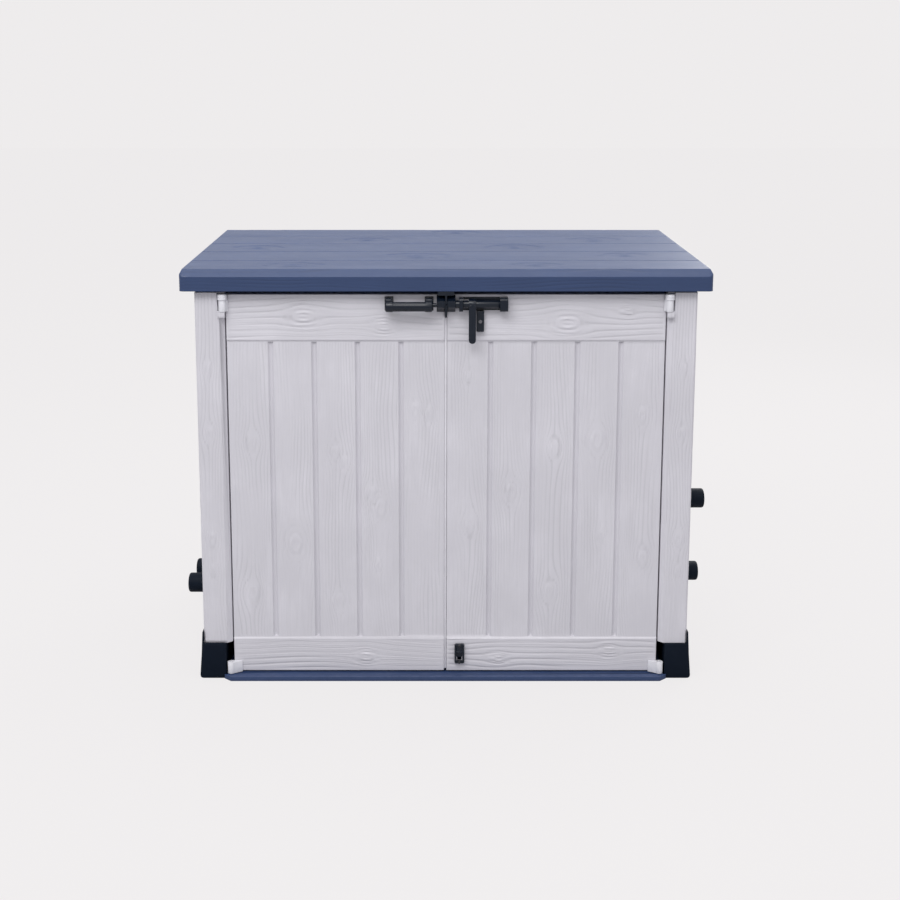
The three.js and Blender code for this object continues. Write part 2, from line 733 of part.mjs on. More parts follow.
function lidShell() {
  const outer = lidForm(0, lidBottom, lidAxisZ);
  const inner = lidForm(lidWall, lidBottom - 1, lidBottom - 1);
  const slope = Math.atan2(lidRise, lidDepth);
  const grooves = plankEdges(lidFront, lidRear).map((y) => {
    const z = lidFrontTop + ((y - lidFront) / lidDepth) * lidRise;
    const outline = [
      [y - 6, z + 1],
      [y - 2.5, z - 2.2],
      [y + 2.5, z - 2.2],
      [y + 6, z + 1 + 12 * slope],
    ];
    return prism("x", outline, -lidHalf - 1, lidHalf + 1);
  });
  return cut(outer, inner, grooves);
}

const linerZ = lidAxisZ + 12;
const lipX = wallInner - 7;
const lipFront = doorBack + 12;
const lipRear = rearFace - 4 - wallThick - 10;

function lidLiner() {
  const edge = lidHalf - lidWall - 0.4;
  const outline = roundedRect(-edge, lidFront + lidWall + 0.4, edge, lidAxisY - 22, 12);
  const plate = prism("z", outline, linerZ, linerZ + 3);
  const lip = cut(
    prism("z", roundedRect(-lipX, lipFront, lipX, lipRear, 12), lidBottom - 18, linerZ + 1),
    prism("z", roundedRect(-lipX + 4, lipFront + 4, lipX - 4, lipRear - 4, 10), lidBottom - 19, linerZ),
  );
  const ribStep = lipX * 0.35;
  const ribs = [-2, -1, 0, 1, 2].map((i) =>
    box(i * ribStep - 2, i * ribStep + 2, lipFront, lipRear, linerZ + 1, linerZ + 22),
  );
  return join(plate, lip, ribs);
}

// The blade that hangs between the doors' keepers, with a plate that screws up into the lid.
const bladeFront = boltY - boltRadius - 6;
function lockBlade() {
  const plate = box(-11, 11, lidFront + lidWall + 2, doorFace + 3, lidBottom - 8, linerZ - gap);
  const half = bladeThick / 2;
  const blade = box(-half, half, bladeFront + 5, doorFace - 1, keeperLow - 12, lidBottom - 7);
  const hole = bar("x", boltY, boltZ, boltRadius + slideClear + 0.4, -bladeThick, bladeThick);
  const head = box(-keeperHalf, keeperHalf, bladeFront + 5, doorFace - 4, doorTop + 1, lidBottom - 1);
  return cut(join(plate, head, blade), hole);
}
add(lid, "lid_shell", navyResin, lidShell());
add(lid, "lid_liner", navyResin, lidLiner());
add(lid, "lid_lock_blade", blackResin, lockBlade());

// ---------------------------------------------------------------- lid hinges
const lidHingeX = [-400, 400];
const barrel = 7;
const lidPin = 3;
const wallFace = rearFace - 4 + gap; // where a leaf lies on the rear wall
lidHingeX.forEach((x, i) => {
  const name = sides[i].name;
  const ends = [
    [x - 32, x - 12 - gap],
    [x + 12 + gap, x + 32],
  ];
  const eyes = ends.map(([a, b]) => bar("x", lidAxisY, lidAxisZ, barrel, a, b, 16));
  const arms = ends.map(([a, b]) =>
    prism(
      "x",
      [
        [wallFace, lidAxisZ - 40],
        [wallFace + 5, lidAxisZ - 40],
        [lidAxisY + 4, lidAxisZ - 5],
        [lidAxisY - 5, lidAxisZ - 2],
      ],
      a,
      b,
    ),
  );
  const leaf = box(x - 32, x + 32, wallFace, wallFace + 4, lidAxisZ - 80, lidAxisZ - 38);
  const fixed = cut(join(leaf, arms, eyes), bar("x", lidAxisY, lidAxisZ, lidPin + gap, x - 33, x + 33, 16));
  add(frame, `lid_hinge_base_${name}`, blackSteel, fixed);
  add(frame, `lid_hinge_pin_${name}`, greySteel, bar("x", lidAxisY, lidAxisZ, lidPin, x - 33, x + 33, 16));
  const eye = bar("x", lidAxisY, lidAxisZ, barrel, x - 12, x + 12, 16);
  const rise = prism(
    "x",
    [
      [lidAxisY - 3, lidAxisZ + 3],
      [lidAxisY + 6, lidAxisZ],
      [lidRear - lidWall - gap, lidAxisZ + 10],
      [lidRear - lidWall - gap, lidAxisZ + 36],
      [lidRear - lidWall - gap - 3, lidAxisZ + 36],
      [lidRear - lidWall - gap - 3, lidAxisZ + 14],
    ],
    x - 12,
    x + 12,
  );
  const turning = cut(join(eye, rise), bar("x", lidAxisY, lidAxisZ, lidPin + runClear, x - 13, x + 13, 16));
  add(lid, `lid_hinge_leaf_${name}`, blackSteel, turning);
});

// ---------------------------------------------------------------- gas struts
const strutLidZ = lidAxisZ - strutLidDrop;
const strutDy = strutLidY - strutWallY;
const strutDz = strutLidZ - strutWallZ;
const strutLength = Math.hypot(strutDy, strutDz);
const strutTilt = Math.atan2(-strutDy, strutDz);
const studRadius = 4;
const eyeWide = 7;
const tubeRadius = 9;
const rodRadius = 4;
const tubeLength = strutLength - 30;

// Drawn upright over the wall stud, then leaned towards the lid stud.
function lean(s, solid) {
  const leant = solid.rotate([(strutTilt * 180) / Math.PI, 0, 0]);
  return leant.translate([s * strutAcross, strutWallY, strutWallZ]);
}

for (const { name, s } of sides) {
  const wallSpan = span(s, strutAcross + eyeWide / 2 + gap, wallInner - gap);
  const studSpan = span(s, strutAcross - eyeWide / 2, strutAcross + eyeWide);
  const [fx0, fx1] = span(s, wallInner - gap - 4, wallInner - gap);
  const flange = box(fx0, fx1, strutWallY - 22, strutWallY + 22, strutWallZ - 30, strutWallZ + 30);
  const boss = bar("x", strutWallY, strutWallZ, 11, ...wallSpan, 20);
  const stud = bar("x", strutWallY, strutWallZ, studRadius, ...studSpan, 20);
  add(frame, `strut_wall_bracket_${name}`, blackSteel, join(flange, boss, stud));

  // the lid stud stops short of the rod's eye: this is where the linkage is left open
  const [bx0, bx1] = span(s, strutAcross - 12, strutAcross + 18);
  const base = box(bx0, bx1, strutLidY - 25, strutLidY + 25, linerZ - gap - 3, linerZ - gap);
  const [ex0, ex1] = span(s, strutAcross + eyeWide / 2 + 1, strutAcross + 11);
  const ear = box(ex0, ex1, strutLidY - 12, strutLidY + 12, strutLidZ - 10, linerZ - 1);
  add(lid, `strut_lid_bracket_${name}`, blackSteel, join(base, ear));

  const eye = bar("x", 0, 0, 10, -eyeWide / 2, eyeWide / 2, 20);
  const tube = join(eye, bar("z", 0, 0, 3.4, 5, 24, 16), bar("z", 0, 0, tubeRadius, 20, tubeLength, 20));
  const bores = [
    bar("z", 0, 0, rodRadius + runClear, 30, tubeLength + 1, 16),
    bar("x", 0, 0, studRadius + runClear, -eyeWide, eyeWide, 20),
  ];
  const swing = group(s * strutAcross, strutWallY, strutWallZ);
  add(swing, `strut_tube_${name}`, blackSteel, lean(s, cut(tube, bores)));
  const rodEye = bar("x", 0, strutLength, 9, -eyeWide / 2, eyeWide / 2, 20);
  const rod = join(rodEye, bar("z", 0, 0, rodRadius, 34, strutLength - 5, 16));
  const rodBore = bar("x", 0, strutLength, studRadius, -eyeWide, eyeWide, 20);
  add(swing, `strut_rod_${name}`, greySteel, lean(s, cut(rod, rodBore)));
}

storageBox.userData = { lidOpen, boltTravel, latchTravel };
export default storageBox;
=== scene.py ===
"""Deck storage box: moulded resin panels, sprung lid, door furniture and stage around the fixed frame."""

import json
import math

import bmesh
import bpy
import numpy as np
from bpy.props import FloatProperty, FloatVectorProperty, IntProperty, PointerProperty
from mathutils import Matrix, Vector

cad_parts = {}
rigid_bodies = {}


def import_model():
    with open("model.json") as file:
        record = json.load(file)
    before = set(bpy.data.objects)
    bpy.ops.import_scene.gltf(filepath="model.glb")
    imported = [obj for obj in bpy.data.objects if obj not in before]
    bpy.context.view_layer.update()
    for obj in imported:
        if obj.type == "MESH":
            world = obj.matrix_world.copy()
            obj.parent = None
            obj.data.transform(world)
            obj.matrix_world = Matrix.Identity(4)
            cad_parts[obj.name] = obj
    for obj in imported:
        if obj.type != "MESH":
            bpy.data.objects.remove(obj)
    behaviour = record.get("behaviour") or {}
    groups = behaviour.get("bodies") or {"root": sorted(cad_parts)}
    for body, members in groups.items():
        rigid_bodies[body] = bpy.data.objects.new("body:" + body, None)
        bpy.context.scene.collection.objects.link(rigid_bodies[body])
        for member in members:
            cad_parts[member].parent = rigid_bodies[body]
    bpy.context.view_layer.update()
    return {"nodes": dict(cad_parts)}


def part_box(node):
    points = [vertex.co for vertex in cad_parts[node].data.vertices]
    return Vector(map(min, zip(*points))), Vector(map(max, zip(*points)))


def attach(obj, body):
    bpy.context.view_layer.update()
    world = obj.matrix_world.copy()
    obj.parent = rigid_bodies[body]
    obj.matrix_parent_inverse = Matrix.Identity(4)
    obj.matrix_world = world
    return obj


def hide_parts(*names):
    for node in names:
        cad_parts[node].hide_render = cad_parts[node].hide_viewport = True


for _startup in list(bpy.data.objects):
    bpy.data.objects.remove(_startup)
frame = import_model()

MM = 0.001
X, Y, Z = 0, 1, 2
SIDES = (("left", -1), ("right", 1))

PLANKS = 5
BOTTOM_RAIL = 100 * MM
TOP_RAIL = 131 * MM

bl_info = {
    "name": "Deck storage box",
    "version": (1, 0, 0),
    "blender": (4, 5, 0),
    "location": "View3D > Sidebar > Storage box",
    "description": "Builds the looks of a resin deck storage box around its frame",
    "category": "Object",
}


# ---------------------------------------------------------------- settings
class ResinSettings(bpy.types.PropertyGroup):
    pale: FloatVectorProperty(
        name="Pale resin", description="Doors, posts and walls", subtype="COLOR", size=3, min=0, max=1,
        default=(0.60, 0.59, 0.632),
    )
    navy: FloatVectorProperty(
        name="Navy resin", description="Lid and floor tray", subtype="COLOR", size=3, min=0, max=1,
        default=(0.024, 0.047, 0.122),
    )
    black: FloatVectorProperty(
        name="Black resin", description="Feet and door furniture", subtype="COLOR", size=3, min=0, max=1,
        default=(0.002, 0.0055, 0.013),
    )
    white: FloatVectorProperty(
        name="White resin", description="Hinge lugs and knobs", subtype="COLOR", size=3, min=0, max=1,
        default=(0.70, 0.70, 0.74),
    )


class GrainSettings(bpy.types.PropertyGroup):
    relief: FloatProperty(
        name="Relief", description="Depth of the embossed grain", default=0.55 * MM, min=0, unit="LENGTH",
    )
    pitch: FloatProperty(
        name="Pitch", description="Distance between grain lines", default=8.5 * MM, min=MM, unit="LENGTH",
    )
    knot: FloatProperty(
        name="Knot", description="Height of a knot's rings", default=1.5 * MM, min=0, unit="LENGTH",
    )
    seed: IntProperty(name="Seed", description="Start of the grain's random numbers", default=7, min=0)


class ScrewSettings(bpy.types.PropertyGroup):
    radius: FloatProperty(
        name="Head radius", description="Radius of a screw's head", default=4 * MM, min=MM, unit="LENGTH",
    )


class StageSettings(bpy.types.PropertyGroup):
    backdrop: FloatVectorProperty(
        name="Backdrop", description="Floor and surroundings", subtype="COLOR", size=3, min=0, max=1,
        default=(0.855, 0.838, 0.842),
    )
    key: FloatProperty(name="Key light", description="Power of the soft key", default=70, min=0, unit="POWER")
    tilt: FloatProperty(
        name="Camera tilt", description="How far the camera looks down", default=math.radians(9.6),
        subtype="ANGLE",
    )


# ---------------------------------------------------------------- noise and grain in numbers
def lattice_noise(a, b, seed):
    """Smooth noise from 0 to 1 over two coordinates."""
    size = 64
    table = np.random.default_rng(seed).random((size, size))
    i, j = np.floor(a).astype(int), np.floor(b).astype(int)
    u, v = a - i, b - j
    u, v = u * u * (3 - 2 * u), v * v * (3 - 2 * v)
    at = lambda p, q: table[p % size, q % size]
    low = at(i, j) * (1 - u) + at(i + 1, j) * u
    high = at(i, j + 1) * (1 - u) + at(i + 1, j + 1) * u
    return low * (1 - v) + high * v


def smooth(x, low, high):
    """0 below low, 1 above high and an even rise between."""
    t = np.clip((x - low) / (high - low), 0, 1)
    return t * t * (3 - 2 * t)


def wood_relief(across, along, seed, knots, pitch):
    """(grain lines 0 to -1, knot shapes -1 to 1): lines run along the plank and part round each knot."""
    wander = (lattice_noise(across / 0.09, along / 0.38, seed) - 0.5) * 0.030
    wander += (lattice_noise(across / 0.03, along / 0.11, seed + 1) - 0.5) * 0.007
    flow = across + wander
    knot_shape = np.zeros_like(across)
    eye = np.zeros_like(across)
    for number, (place, height, radius) in enumerate(knots):
        da = across - place
        dl = (along - height) / 1.7
        far = np.sqrt(da * da + dl * dl) + 1e-6
        turned = far * (1 + 0.18 * (lattice_noise(da / 0.012, dl / 0.012, seed + 20 + number) - 0.5))
        flow = flow - da * np.minimum(radius * radius * 2.2 / (far * far), 0.85)
        inside = 1 - smooth(turned, radius * 0.75, radius * 1.25)
        halo = 1 - smooth(turned, radius * 1.1, radius * 3.4)
        rings = np.cos(turned / radius * 8.5)
        knot_shape += inside * (0.6 * rings + 0.5) + halo * (1 - inside) * 0.42 * rings
        eye = np.maximum(eye, inside)
    phase = flow / pitch + 0.5 * lattice_noise(across / 0.05, along / 0.3, seed + 2)
    nearest = np.abs(phase - np.round(phase))
    line = -np.exp(-((nearest / 0.16) ** 2))
    strong = smooth(lattice_noise(across / 0.045, along / 0.22, seed + 3), 0.25, 0.75)
    fine = -np.exp(-(((phase * 2.7) % 1 - 0.5) / 0.2) ** 2) * 0.35
    return (line * (0.25 + 0.75 * strong) + fine * (1 - strong)) * (1 - eye), knot_shape


# ---------------------------------------------------------------- mesh helpers
def cad_shape(node):
    """A CAD node's shape as joined faces, free to be refined."""
    bm = bmesh.new()
    bm.from_mesh(frame["nodes"][node].data)
    bmesh.ops.remove_doubles(bm, verts=bm.verts, dist=1e-5)
    bmesh.ops.dissolve_limit(bm, angle_limit=math.radians(1.2), verts=bm.verts, edges=bm.edges)
    return bm


def sharp_edges(bm, chosen=lambda e: True, angle=math.radians(40), shortest=2 * MM):
    """The edges between two faces that bend by more than an angle."""
    joined = [e for e in bm.edges if len(e.link_faces) == 2 and e.calc_length() > shortest]
    return [e for e in joined if e.calc_face_angle(0) > angle and chosen(e)]


def round_edges(bm, edges, width, segments=2):
    if edges:
        bmesh.ops.bevel(
            bm, geom=edges, offset=width, offset_type="OFFSET", segments=segments, profile=0.5,
            affect="EDGES", clamp_overlap=True,
        )


def slice_faces(bm, faces, axis, lines):
    """Cuts faces along each line of an axis and gives back all the parts."""
    if not lines or not faces:
        return faces
    half = len(lines) // 2
    place = Vector((0, 0, 0))
    place[axis] = lines[half]
    normal = Vector((0, 0, 0))
    normal[axis] = 1
    geom = dict.fromkeys(faces)
    for f in faces:
        geom.update(dict.fromkeys(f.edges))
        geom.update(dict.fromkeys(f.verts))
    cut = bmesh.ops.bisect_plane(bm, geom=list(geom), dist=1e-7, plane_co=place, plane_no=normal)
    parts = [g for g in cut["geom"] if isinstance(g, bmesh.types.BMFace)]
    low = [f for f in parts if f.calc_center_median()[axis] < lines[half]]
    high = [f for f in parts if f.calc_center_median()[axis] >= lines[half]]
    return slice_faces(bm, low, axis, lines[:half]) + slice_faces(bm, high, axis, lines[half + 1:])


def steps(low, high, step):
    """Evenly spaced places between low and high, about a step apart."""
    count = max(1, round((high - low) / step))
    return [low + (high - low) * i / count for i in range(1, count)]


def emboss(bm, region, grain):
    """Cuts a grid into a region's faces and presses wood grain into them, storing each vertex's relief for
    the painted shade in the grain lines.
    """
    axis, sign, across, along = region["axis"], region["sign"], region["across"], region["along"]
    (a0, a1), (l0, l1) = region["span"], region["length"]
    depth = region["from"]
    layer = bm.verts.layers.float.get("relief") or bm.verts.layers.float.new("relief")

    def inside(f):
        c = f.calc_center_median()
        ahead = (c[axis] - depth) * sign > 0
        return ahead and f.normal[axis] * sign > 0.3 and l0 < c[along] < l1 and a0 < c[across] < a1

    faces = [f for f in bm.faces if inside(f)]
    looser = 1
    faces = slice_faces(bm, faces, along, steps(l0, l1, looser * region.get("coarse", 9 * MM)))
    faces = slice_faces(bm, faces, across, steps(a0, a1, looser * region.get("fine", 1.7 * MM)))
    verts = list(dict.fromkeys(v for f in faces for v in f.verts))
    if not verts:
        return
    co = np.array([v.co for v in verts])
    a, l = co[:, across], co[:, along]
    borders = np.array([a0, *region.get("grooves", ()), a1])
    board = np.clip(np.searchsorted(borders, a) - 1, 0, len(borders) - 2)
    lines, knots = np.zeros(len(verts)), np.zeros(len(verts))
    for k in range(len(borders) - 1):
        own = board == k
        near = [n for n in region.get("knots", ()) if borders[k] <= n[0] <= borders[k + 1]]
        pitch = grain.pitch * region.get("pitch", 1)
        seed = grain.seed + region["seed"] + 11 * k
        lines[own], knots[own] = wood_relief(a[own], l[own], seed, near, pitch)
    reach = np.min(np.abs(a[:, None] - borders[None, :]), axis=1)
    edge = np.minimum(l - l0, l1 - l)
    shy = region.get("shy", 8.5 * MM)
    mask = smooth(reach, shy, shy + 5 * MM) * smooth(edge, MM, 5 * MM)
    push = lines * grain.relief * region.get("strength", 1) + knots * grain.knot * region.get("height", 1)
    push = mask * push
    if region.get("sunk"):
        push = np.minimum(push - mask * grain.knot * 0.8 * (knots != 0), 0)
    # The relief attribute is what the board finishes turn into painted shade in the grain lines.
    for v, h, value in zip(verts, push, mask * (lines + 0.6 * knots)):
        v.co[axis] += sign * h
        v[layer] = value


def grain_map(mesh, regions):
    """A UV map in metres: U across the grain and V along it, moved apart for each board."""
    count = len(mesh.polygons)
    centre, normal = np.empty(count * 3), np.empty(count * 3)
    mesh.polygons.foreach_get("center", centre)
    mesh.polygons.foreach_get("normal", normal)
    centre, normal = centre.reshape(-1, 3), normal.reshape(-1, 3)
    start, total = np.empty(count, int), np.empty(count, int)
    mesh.polygons.foreach_get("loop_start", start)
    mesh.polygons.foreach_get("loop_total", total)
    owner = np.repeat(np.arange(count), total)
    index = np.empty(len(mesh.loops), int)
    mesh.loops.foreach_get("vertex_index", index)
    co = np.empty(len(mesh.vertices) * 3)
    mesh.vertices.foreach_get("co", co)
    co = co.reshape(-1, 3)[index]
    flat = np.abs(normal).argmax(1)
    across = np.where(flat == X, Y, X)[owner]
    uv = np.stack([co[np.arange(len(co)), across], np.where(flat[owner] == Z, co[:, Y], co[:, Z])], 1)
    for r in regions:
        c = centre
        own = (np.abs(normal[:, r["axis"]]) > 0.3) & ((c[:, r["axis"]] - r["from"]) * r["sign"] > 0)
        own &= (c[:, r["along"]] > r["length"][0]) & (c[:, r["along"]] < r["length"][1])
        own &= (c[:, r["across"]] > r["span"][0]) & (c[:, r["across"]] < r["span"][1])
        borders = np.array([r["span"][0], *r.get("grooves", ()), r["span"][1]])
        board = np.searchsorted(borders, c[:, r["across"]])
        moved = (board * 0.37 + r["seed"] * 0.61)[owner]
        here = own[owner]
        uv[here, 0] = co[here, r["across"]] + moved[here]
        uv[here, 1] = co[here, r["along"]] + moved[here] * 1.7
    layer = mesh.uv_layers.new(name="grain")
    layer.data.foreach_set("uv", uv.ravel())


def piece(name, bm_or_mesh, body, material, nodes=(), crease=math.radians(32)):
    """Turns a mesh into a finished piece that rides on a body and stands for CAD nodes."""
    if isinstance(bm_or_mesh, bmesh.types.BMesh):
        mesh = bpy.data.meshes.new(name)
        bm_or_mesh.to_mesh(mesh)
        bm_or_mesh.free()
    else:
        mesh = bm_or_mesh
    mesh.polygons.foreach_set("use_smooth", [True] * len(mesh.polygons))
    mesh.set_sharp_from_angle(angle=crease)
    mesh.materials.clear()
    mesh.materials.append(bpy.data.materials[material])
    obj = bpy.data.objects.new(name, mesh)
    bpy.context.scene.collection.objects.link(obj)
    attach(obj, body)
    if nodes:
        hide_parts(*nodes)
    return obj


def refined(node, body, material, width=1.2 * MM, segments=2, shortest=2 * MM):
    """A CAD node with its edges rounded."""
    bm = cad_shape(node)
    round_edges(bm, sharp_edges(bm, shortest=shortest), width, segments)
    return piece(f"{node}_moulded", bm, body, material, [node])


def turned(bm, profile, axis, centre, sides=40):
    """Adds a closed turned shape from (place along the axis, radius) pairs that start and end on the axis."""
    others = [k for k in (X, Y, Z) if k != axis]
    rings = []
    for place, radius in profile:
        if radius < 1e-6:
            p = Vector(centre)
            p[axis] = place
            rings.append([bm.verts.new(p)])
            continue
        ring = []
        for i in range(sides):
            p = Vector(centre)
            p[axis] = place
            p[others[0]] += radius * math.cos(math.tau * i / sides)
            p[others[1]] += radius * math.sin(math.tau * i / sides)
            ring.append(bm.verts.new(p))
        rings.append(ring)
    made = []
    for low, high in zip(rings, rings[1:]):
        for i in range(sides):
            j = (i + 1) % sides
            corners = [low[i % len(low)], low[j % len(low)], high[j % len(high)], high[i % len(high)]]
            corners = list(dict.fromkeys(corners))
            if len(corners) > 2:
                made.append(bm.faces.new(corners))
    bmesh.ops.recalc_face_normals(bm, faces=made)
    return made


def rounded_profile(low, high, radius, corner, steps_round=4):
    """A rod's profile from low to high with rounded ends."""
    points = [(low, 0)]
    for i in range(steps_round + 1):
        t = math.pi / 2 * i / steps_round
        points.append((low + corner * (1 - math.sin(t)), radius - corner * (1 - math.cos(t))))
    points = [points[0], *sorted(points[1:], key=lambda p: p[0])]
    for i in range(steps_round + 1):
        t = math.pi / 2 * i / steps_round
        points.append((high - corner * (1 - math.sin(t)), radius - corner * (1 - math.cos(t))))
    tail = sorted(points[steps_round + 2:], key=lambda p: p[0])
    return [*points[: steps_round + 2], *tail, (high, 0)]


def block(bm, low, high, width, segments=2):
    """Adds a box with rounded edges."""
    made = bmesh.ops.create_cube(bm, size=1)["verts"]
    low, high = Vector(low), Vector(high)
    for v in made:
        v.co = Vector((low[k] + (v.co[k] + 0.5) * (high[k] - low[k]) for k in (X, Y, Z)))
    edges = list(dict.fromkeys(e for v in made for e in v.link_edges))
    bmesh.ops.bevel(bm, geom=edges, offset=width, segments=segments, profile=0.5, affect="EDGES")


# ---------------------------------------------------------------- shader groups
def new_group(name, inputs, outputs):
    group = bpy.data.node_groups.new(name, "ShaderNodeTree")
    for label, kind, value in inputs:
        socket = group.interface.new_socket(name=label, in_out="INPUT", socket_type=kind)
        if value is not None:
            socket.default_value = value
    for label, kind in outputs:
        group.interface.new_socket(name=label, in_out="OUTPUT", socket_type=kind)
    return group, group.nodes.new("NodeGroupInput"), group.nodes.new("NodeGroupOutput")


def maths(tree, operation, *values, clamp=False):
    node = tree.nodes.new("ShaderNodeMath")
    node.operation = operation
    node.use_clamp = clamp
    for socket, value in zip(node.inputs, values):
        if isinstance(value, bpy.types.NodeSocket):
            tree.links.new(value, socket)
        else:
            socket.default_value = value
    return node.outputs[0]


def ramp(tree, value, low, high):
    node = tree.nodes.new("ShaderNodeMapRange")
    node.interpolation_type = "SMOOTHSTEP"
    node.clamp = True
    tree.links.new(value, node.inputs["Value"])
    node.inputs["From Min"].default_value = low
    node.inputs["From Max"].default_value = high
    return node.outputs["Result"]


def noise_at(tree, vector, scale, detail=2.0, stretch=None, rough=0.5):
    if stretch:
        mapping = tree.nodes.new("ShaderNodeMapping")
        mapping.inputs["Scale"].default_value = stretch
        tree.links.new(vector, mapping.inputs["Vector"])
        vector = mapping.outputs["Vector"]
    node = tree.nodes.new("ShaderNodeTexNoise")
    node.inputs["Scale"].default_value = scale
    node.inputs["Detail"].default_value = detail
    node.inputs["Roughness"].default_value = rough
    tree.links.new(vector, node.inputs["Vector"])
    return node.outputs["Fac"]


def fibre_group():
    """Fine fibres along V and slow patches of tone."""
    group, enter, leave = new_group(
        "Wood fibres",
        [("Vector", "NodeSocketVector", None), ("Fibre Depth", "NodeSocketFloat", 1.0)],
        [("Height", "NodeSocketFloat"), ("Tone", "NodeSocketFloat")],
    )
    fine = noise_at(group, enter.outputs["Vector"], 1, 3, (430, 14, 1), 0.6)
    broad = noise_at(group, enter.outputs["Vector"], 1, 2, (120, 5, 1))
    patch = noise_at(group, enter.outputs["Vector"], 1, 2, (14, 4, 1))
    thread = maths(group, "ADD", maths(group, "MULTIPLY", fine, 0.5), maths(group, "MULTIPLY", broad, 0.5))
    height = maths(group, "MULTIPLY", thread, enter.outputs["Fibre Depth"])
    tone = maths(group, "ADD", maths(group, "MULTIPLY", thread, 0.55), maths(group, "MULTIPLY", patch, 0.45))
    group.links.new(height, leave.inputs["Height"])
    group.links.new(tone, leave.inputs["Tone"])
    return group


def mould_group():
    """Spark-eroded mould texture and cloudy gloss."""
    group, enter, leave = new_group(
        "Mould texture",
        [("Vector", "NodeSocketVector", None), ("Stipple", "NodeSocketFloat", 900.0)],
        [("Height", "NodeSocketFloat"), ("Cloud", "NodeSocketFloat")],
    )
    node = group.nodes.new("ShaderNodeTexNoise")
    node.inputs["Detail"].default_value = 2
    group.links.new(enter.outputs["Vector"], node.inputs["Vector"])
    group.links.new(enter.outputs["Stipple"], node.inputs["Scale"])
    cloud = noise_at(group, enter.outputs["Vector"], 6, 3)
    group.links.new(node.outputs["Fac"], leave.inputs["Height"])
    group.links.new(cloud, leave.inputs["Cloud"])
    return group


def wear_group():
    """Rubbed edges and a little dust on what faces up."""
    group, enter, leave = new_group(
        "Edge wear and dust",
        [
            ("Vector", "NodeSocketVector", None), ("Wear", "NodeSocketFloat", 0.5),
            ("Dust", "NodeSocketFloat", 0.5),
        ],
        [("Edge", "NodeSocketFloat"), ("Dust", "NodeSocketFloat")],
    )
    geometry = group.nodes.new("ShaderNodeNewGeometry")
    broken = ramp(group, noise_at(group, enter.outputs["Vector"], 60, 3), 0.35, 0.7)
    edge = ramp(group, geometry.outputs["Pointiness"], 0.515, 0.60)
    edge = maths(group, "MULTIPLY", maths(group, "MULTIPLY", edge, broken), enter.outputs["Wear"], clamp=True)
    split = group.nodes.new("ShaderNodeSeparateXYZ")
    group.links.new(geometry.outputs["Normal"], split.inputs[0])
    up = ramp(group, split.outputs["Z"], 0.3, 1.0)
    speck = ramp(group, noise_at(group, enter.outputs["Vector"], 22, 5, None, 0.65), 0.4, 0.75)
    dust = maths(group, "MULTIPLY", maths(group, "MULTIPLY", up, speck), enter.outputs["Dust"], clamp=True)
    group.links.new(edge, leave.inputs["Edge"])
    group.links.new(dust, leave.inputs["Dust"])
    return group


def mix_colour(tree, factor, first, second):
    node = tree.nodes.new("ShaderNodeMix")
    node.data_type = "RGBA"
    tree.links.new(factor, node.inputs["Factor"])
    for socket, value in ((node.inputs["A"], first), (node.inputs["B"], second)):
        if isinstance(value, bpy.types.NodeSocket):
            tree.links.new(value, socket)
        else:
            socket.default_value = (*value, 1)
    return node.outputs["Result"]


def tinted(colour, factor, lift=0.0):
    return tuple(min(1.0, c * factor + lift) for c in colour)
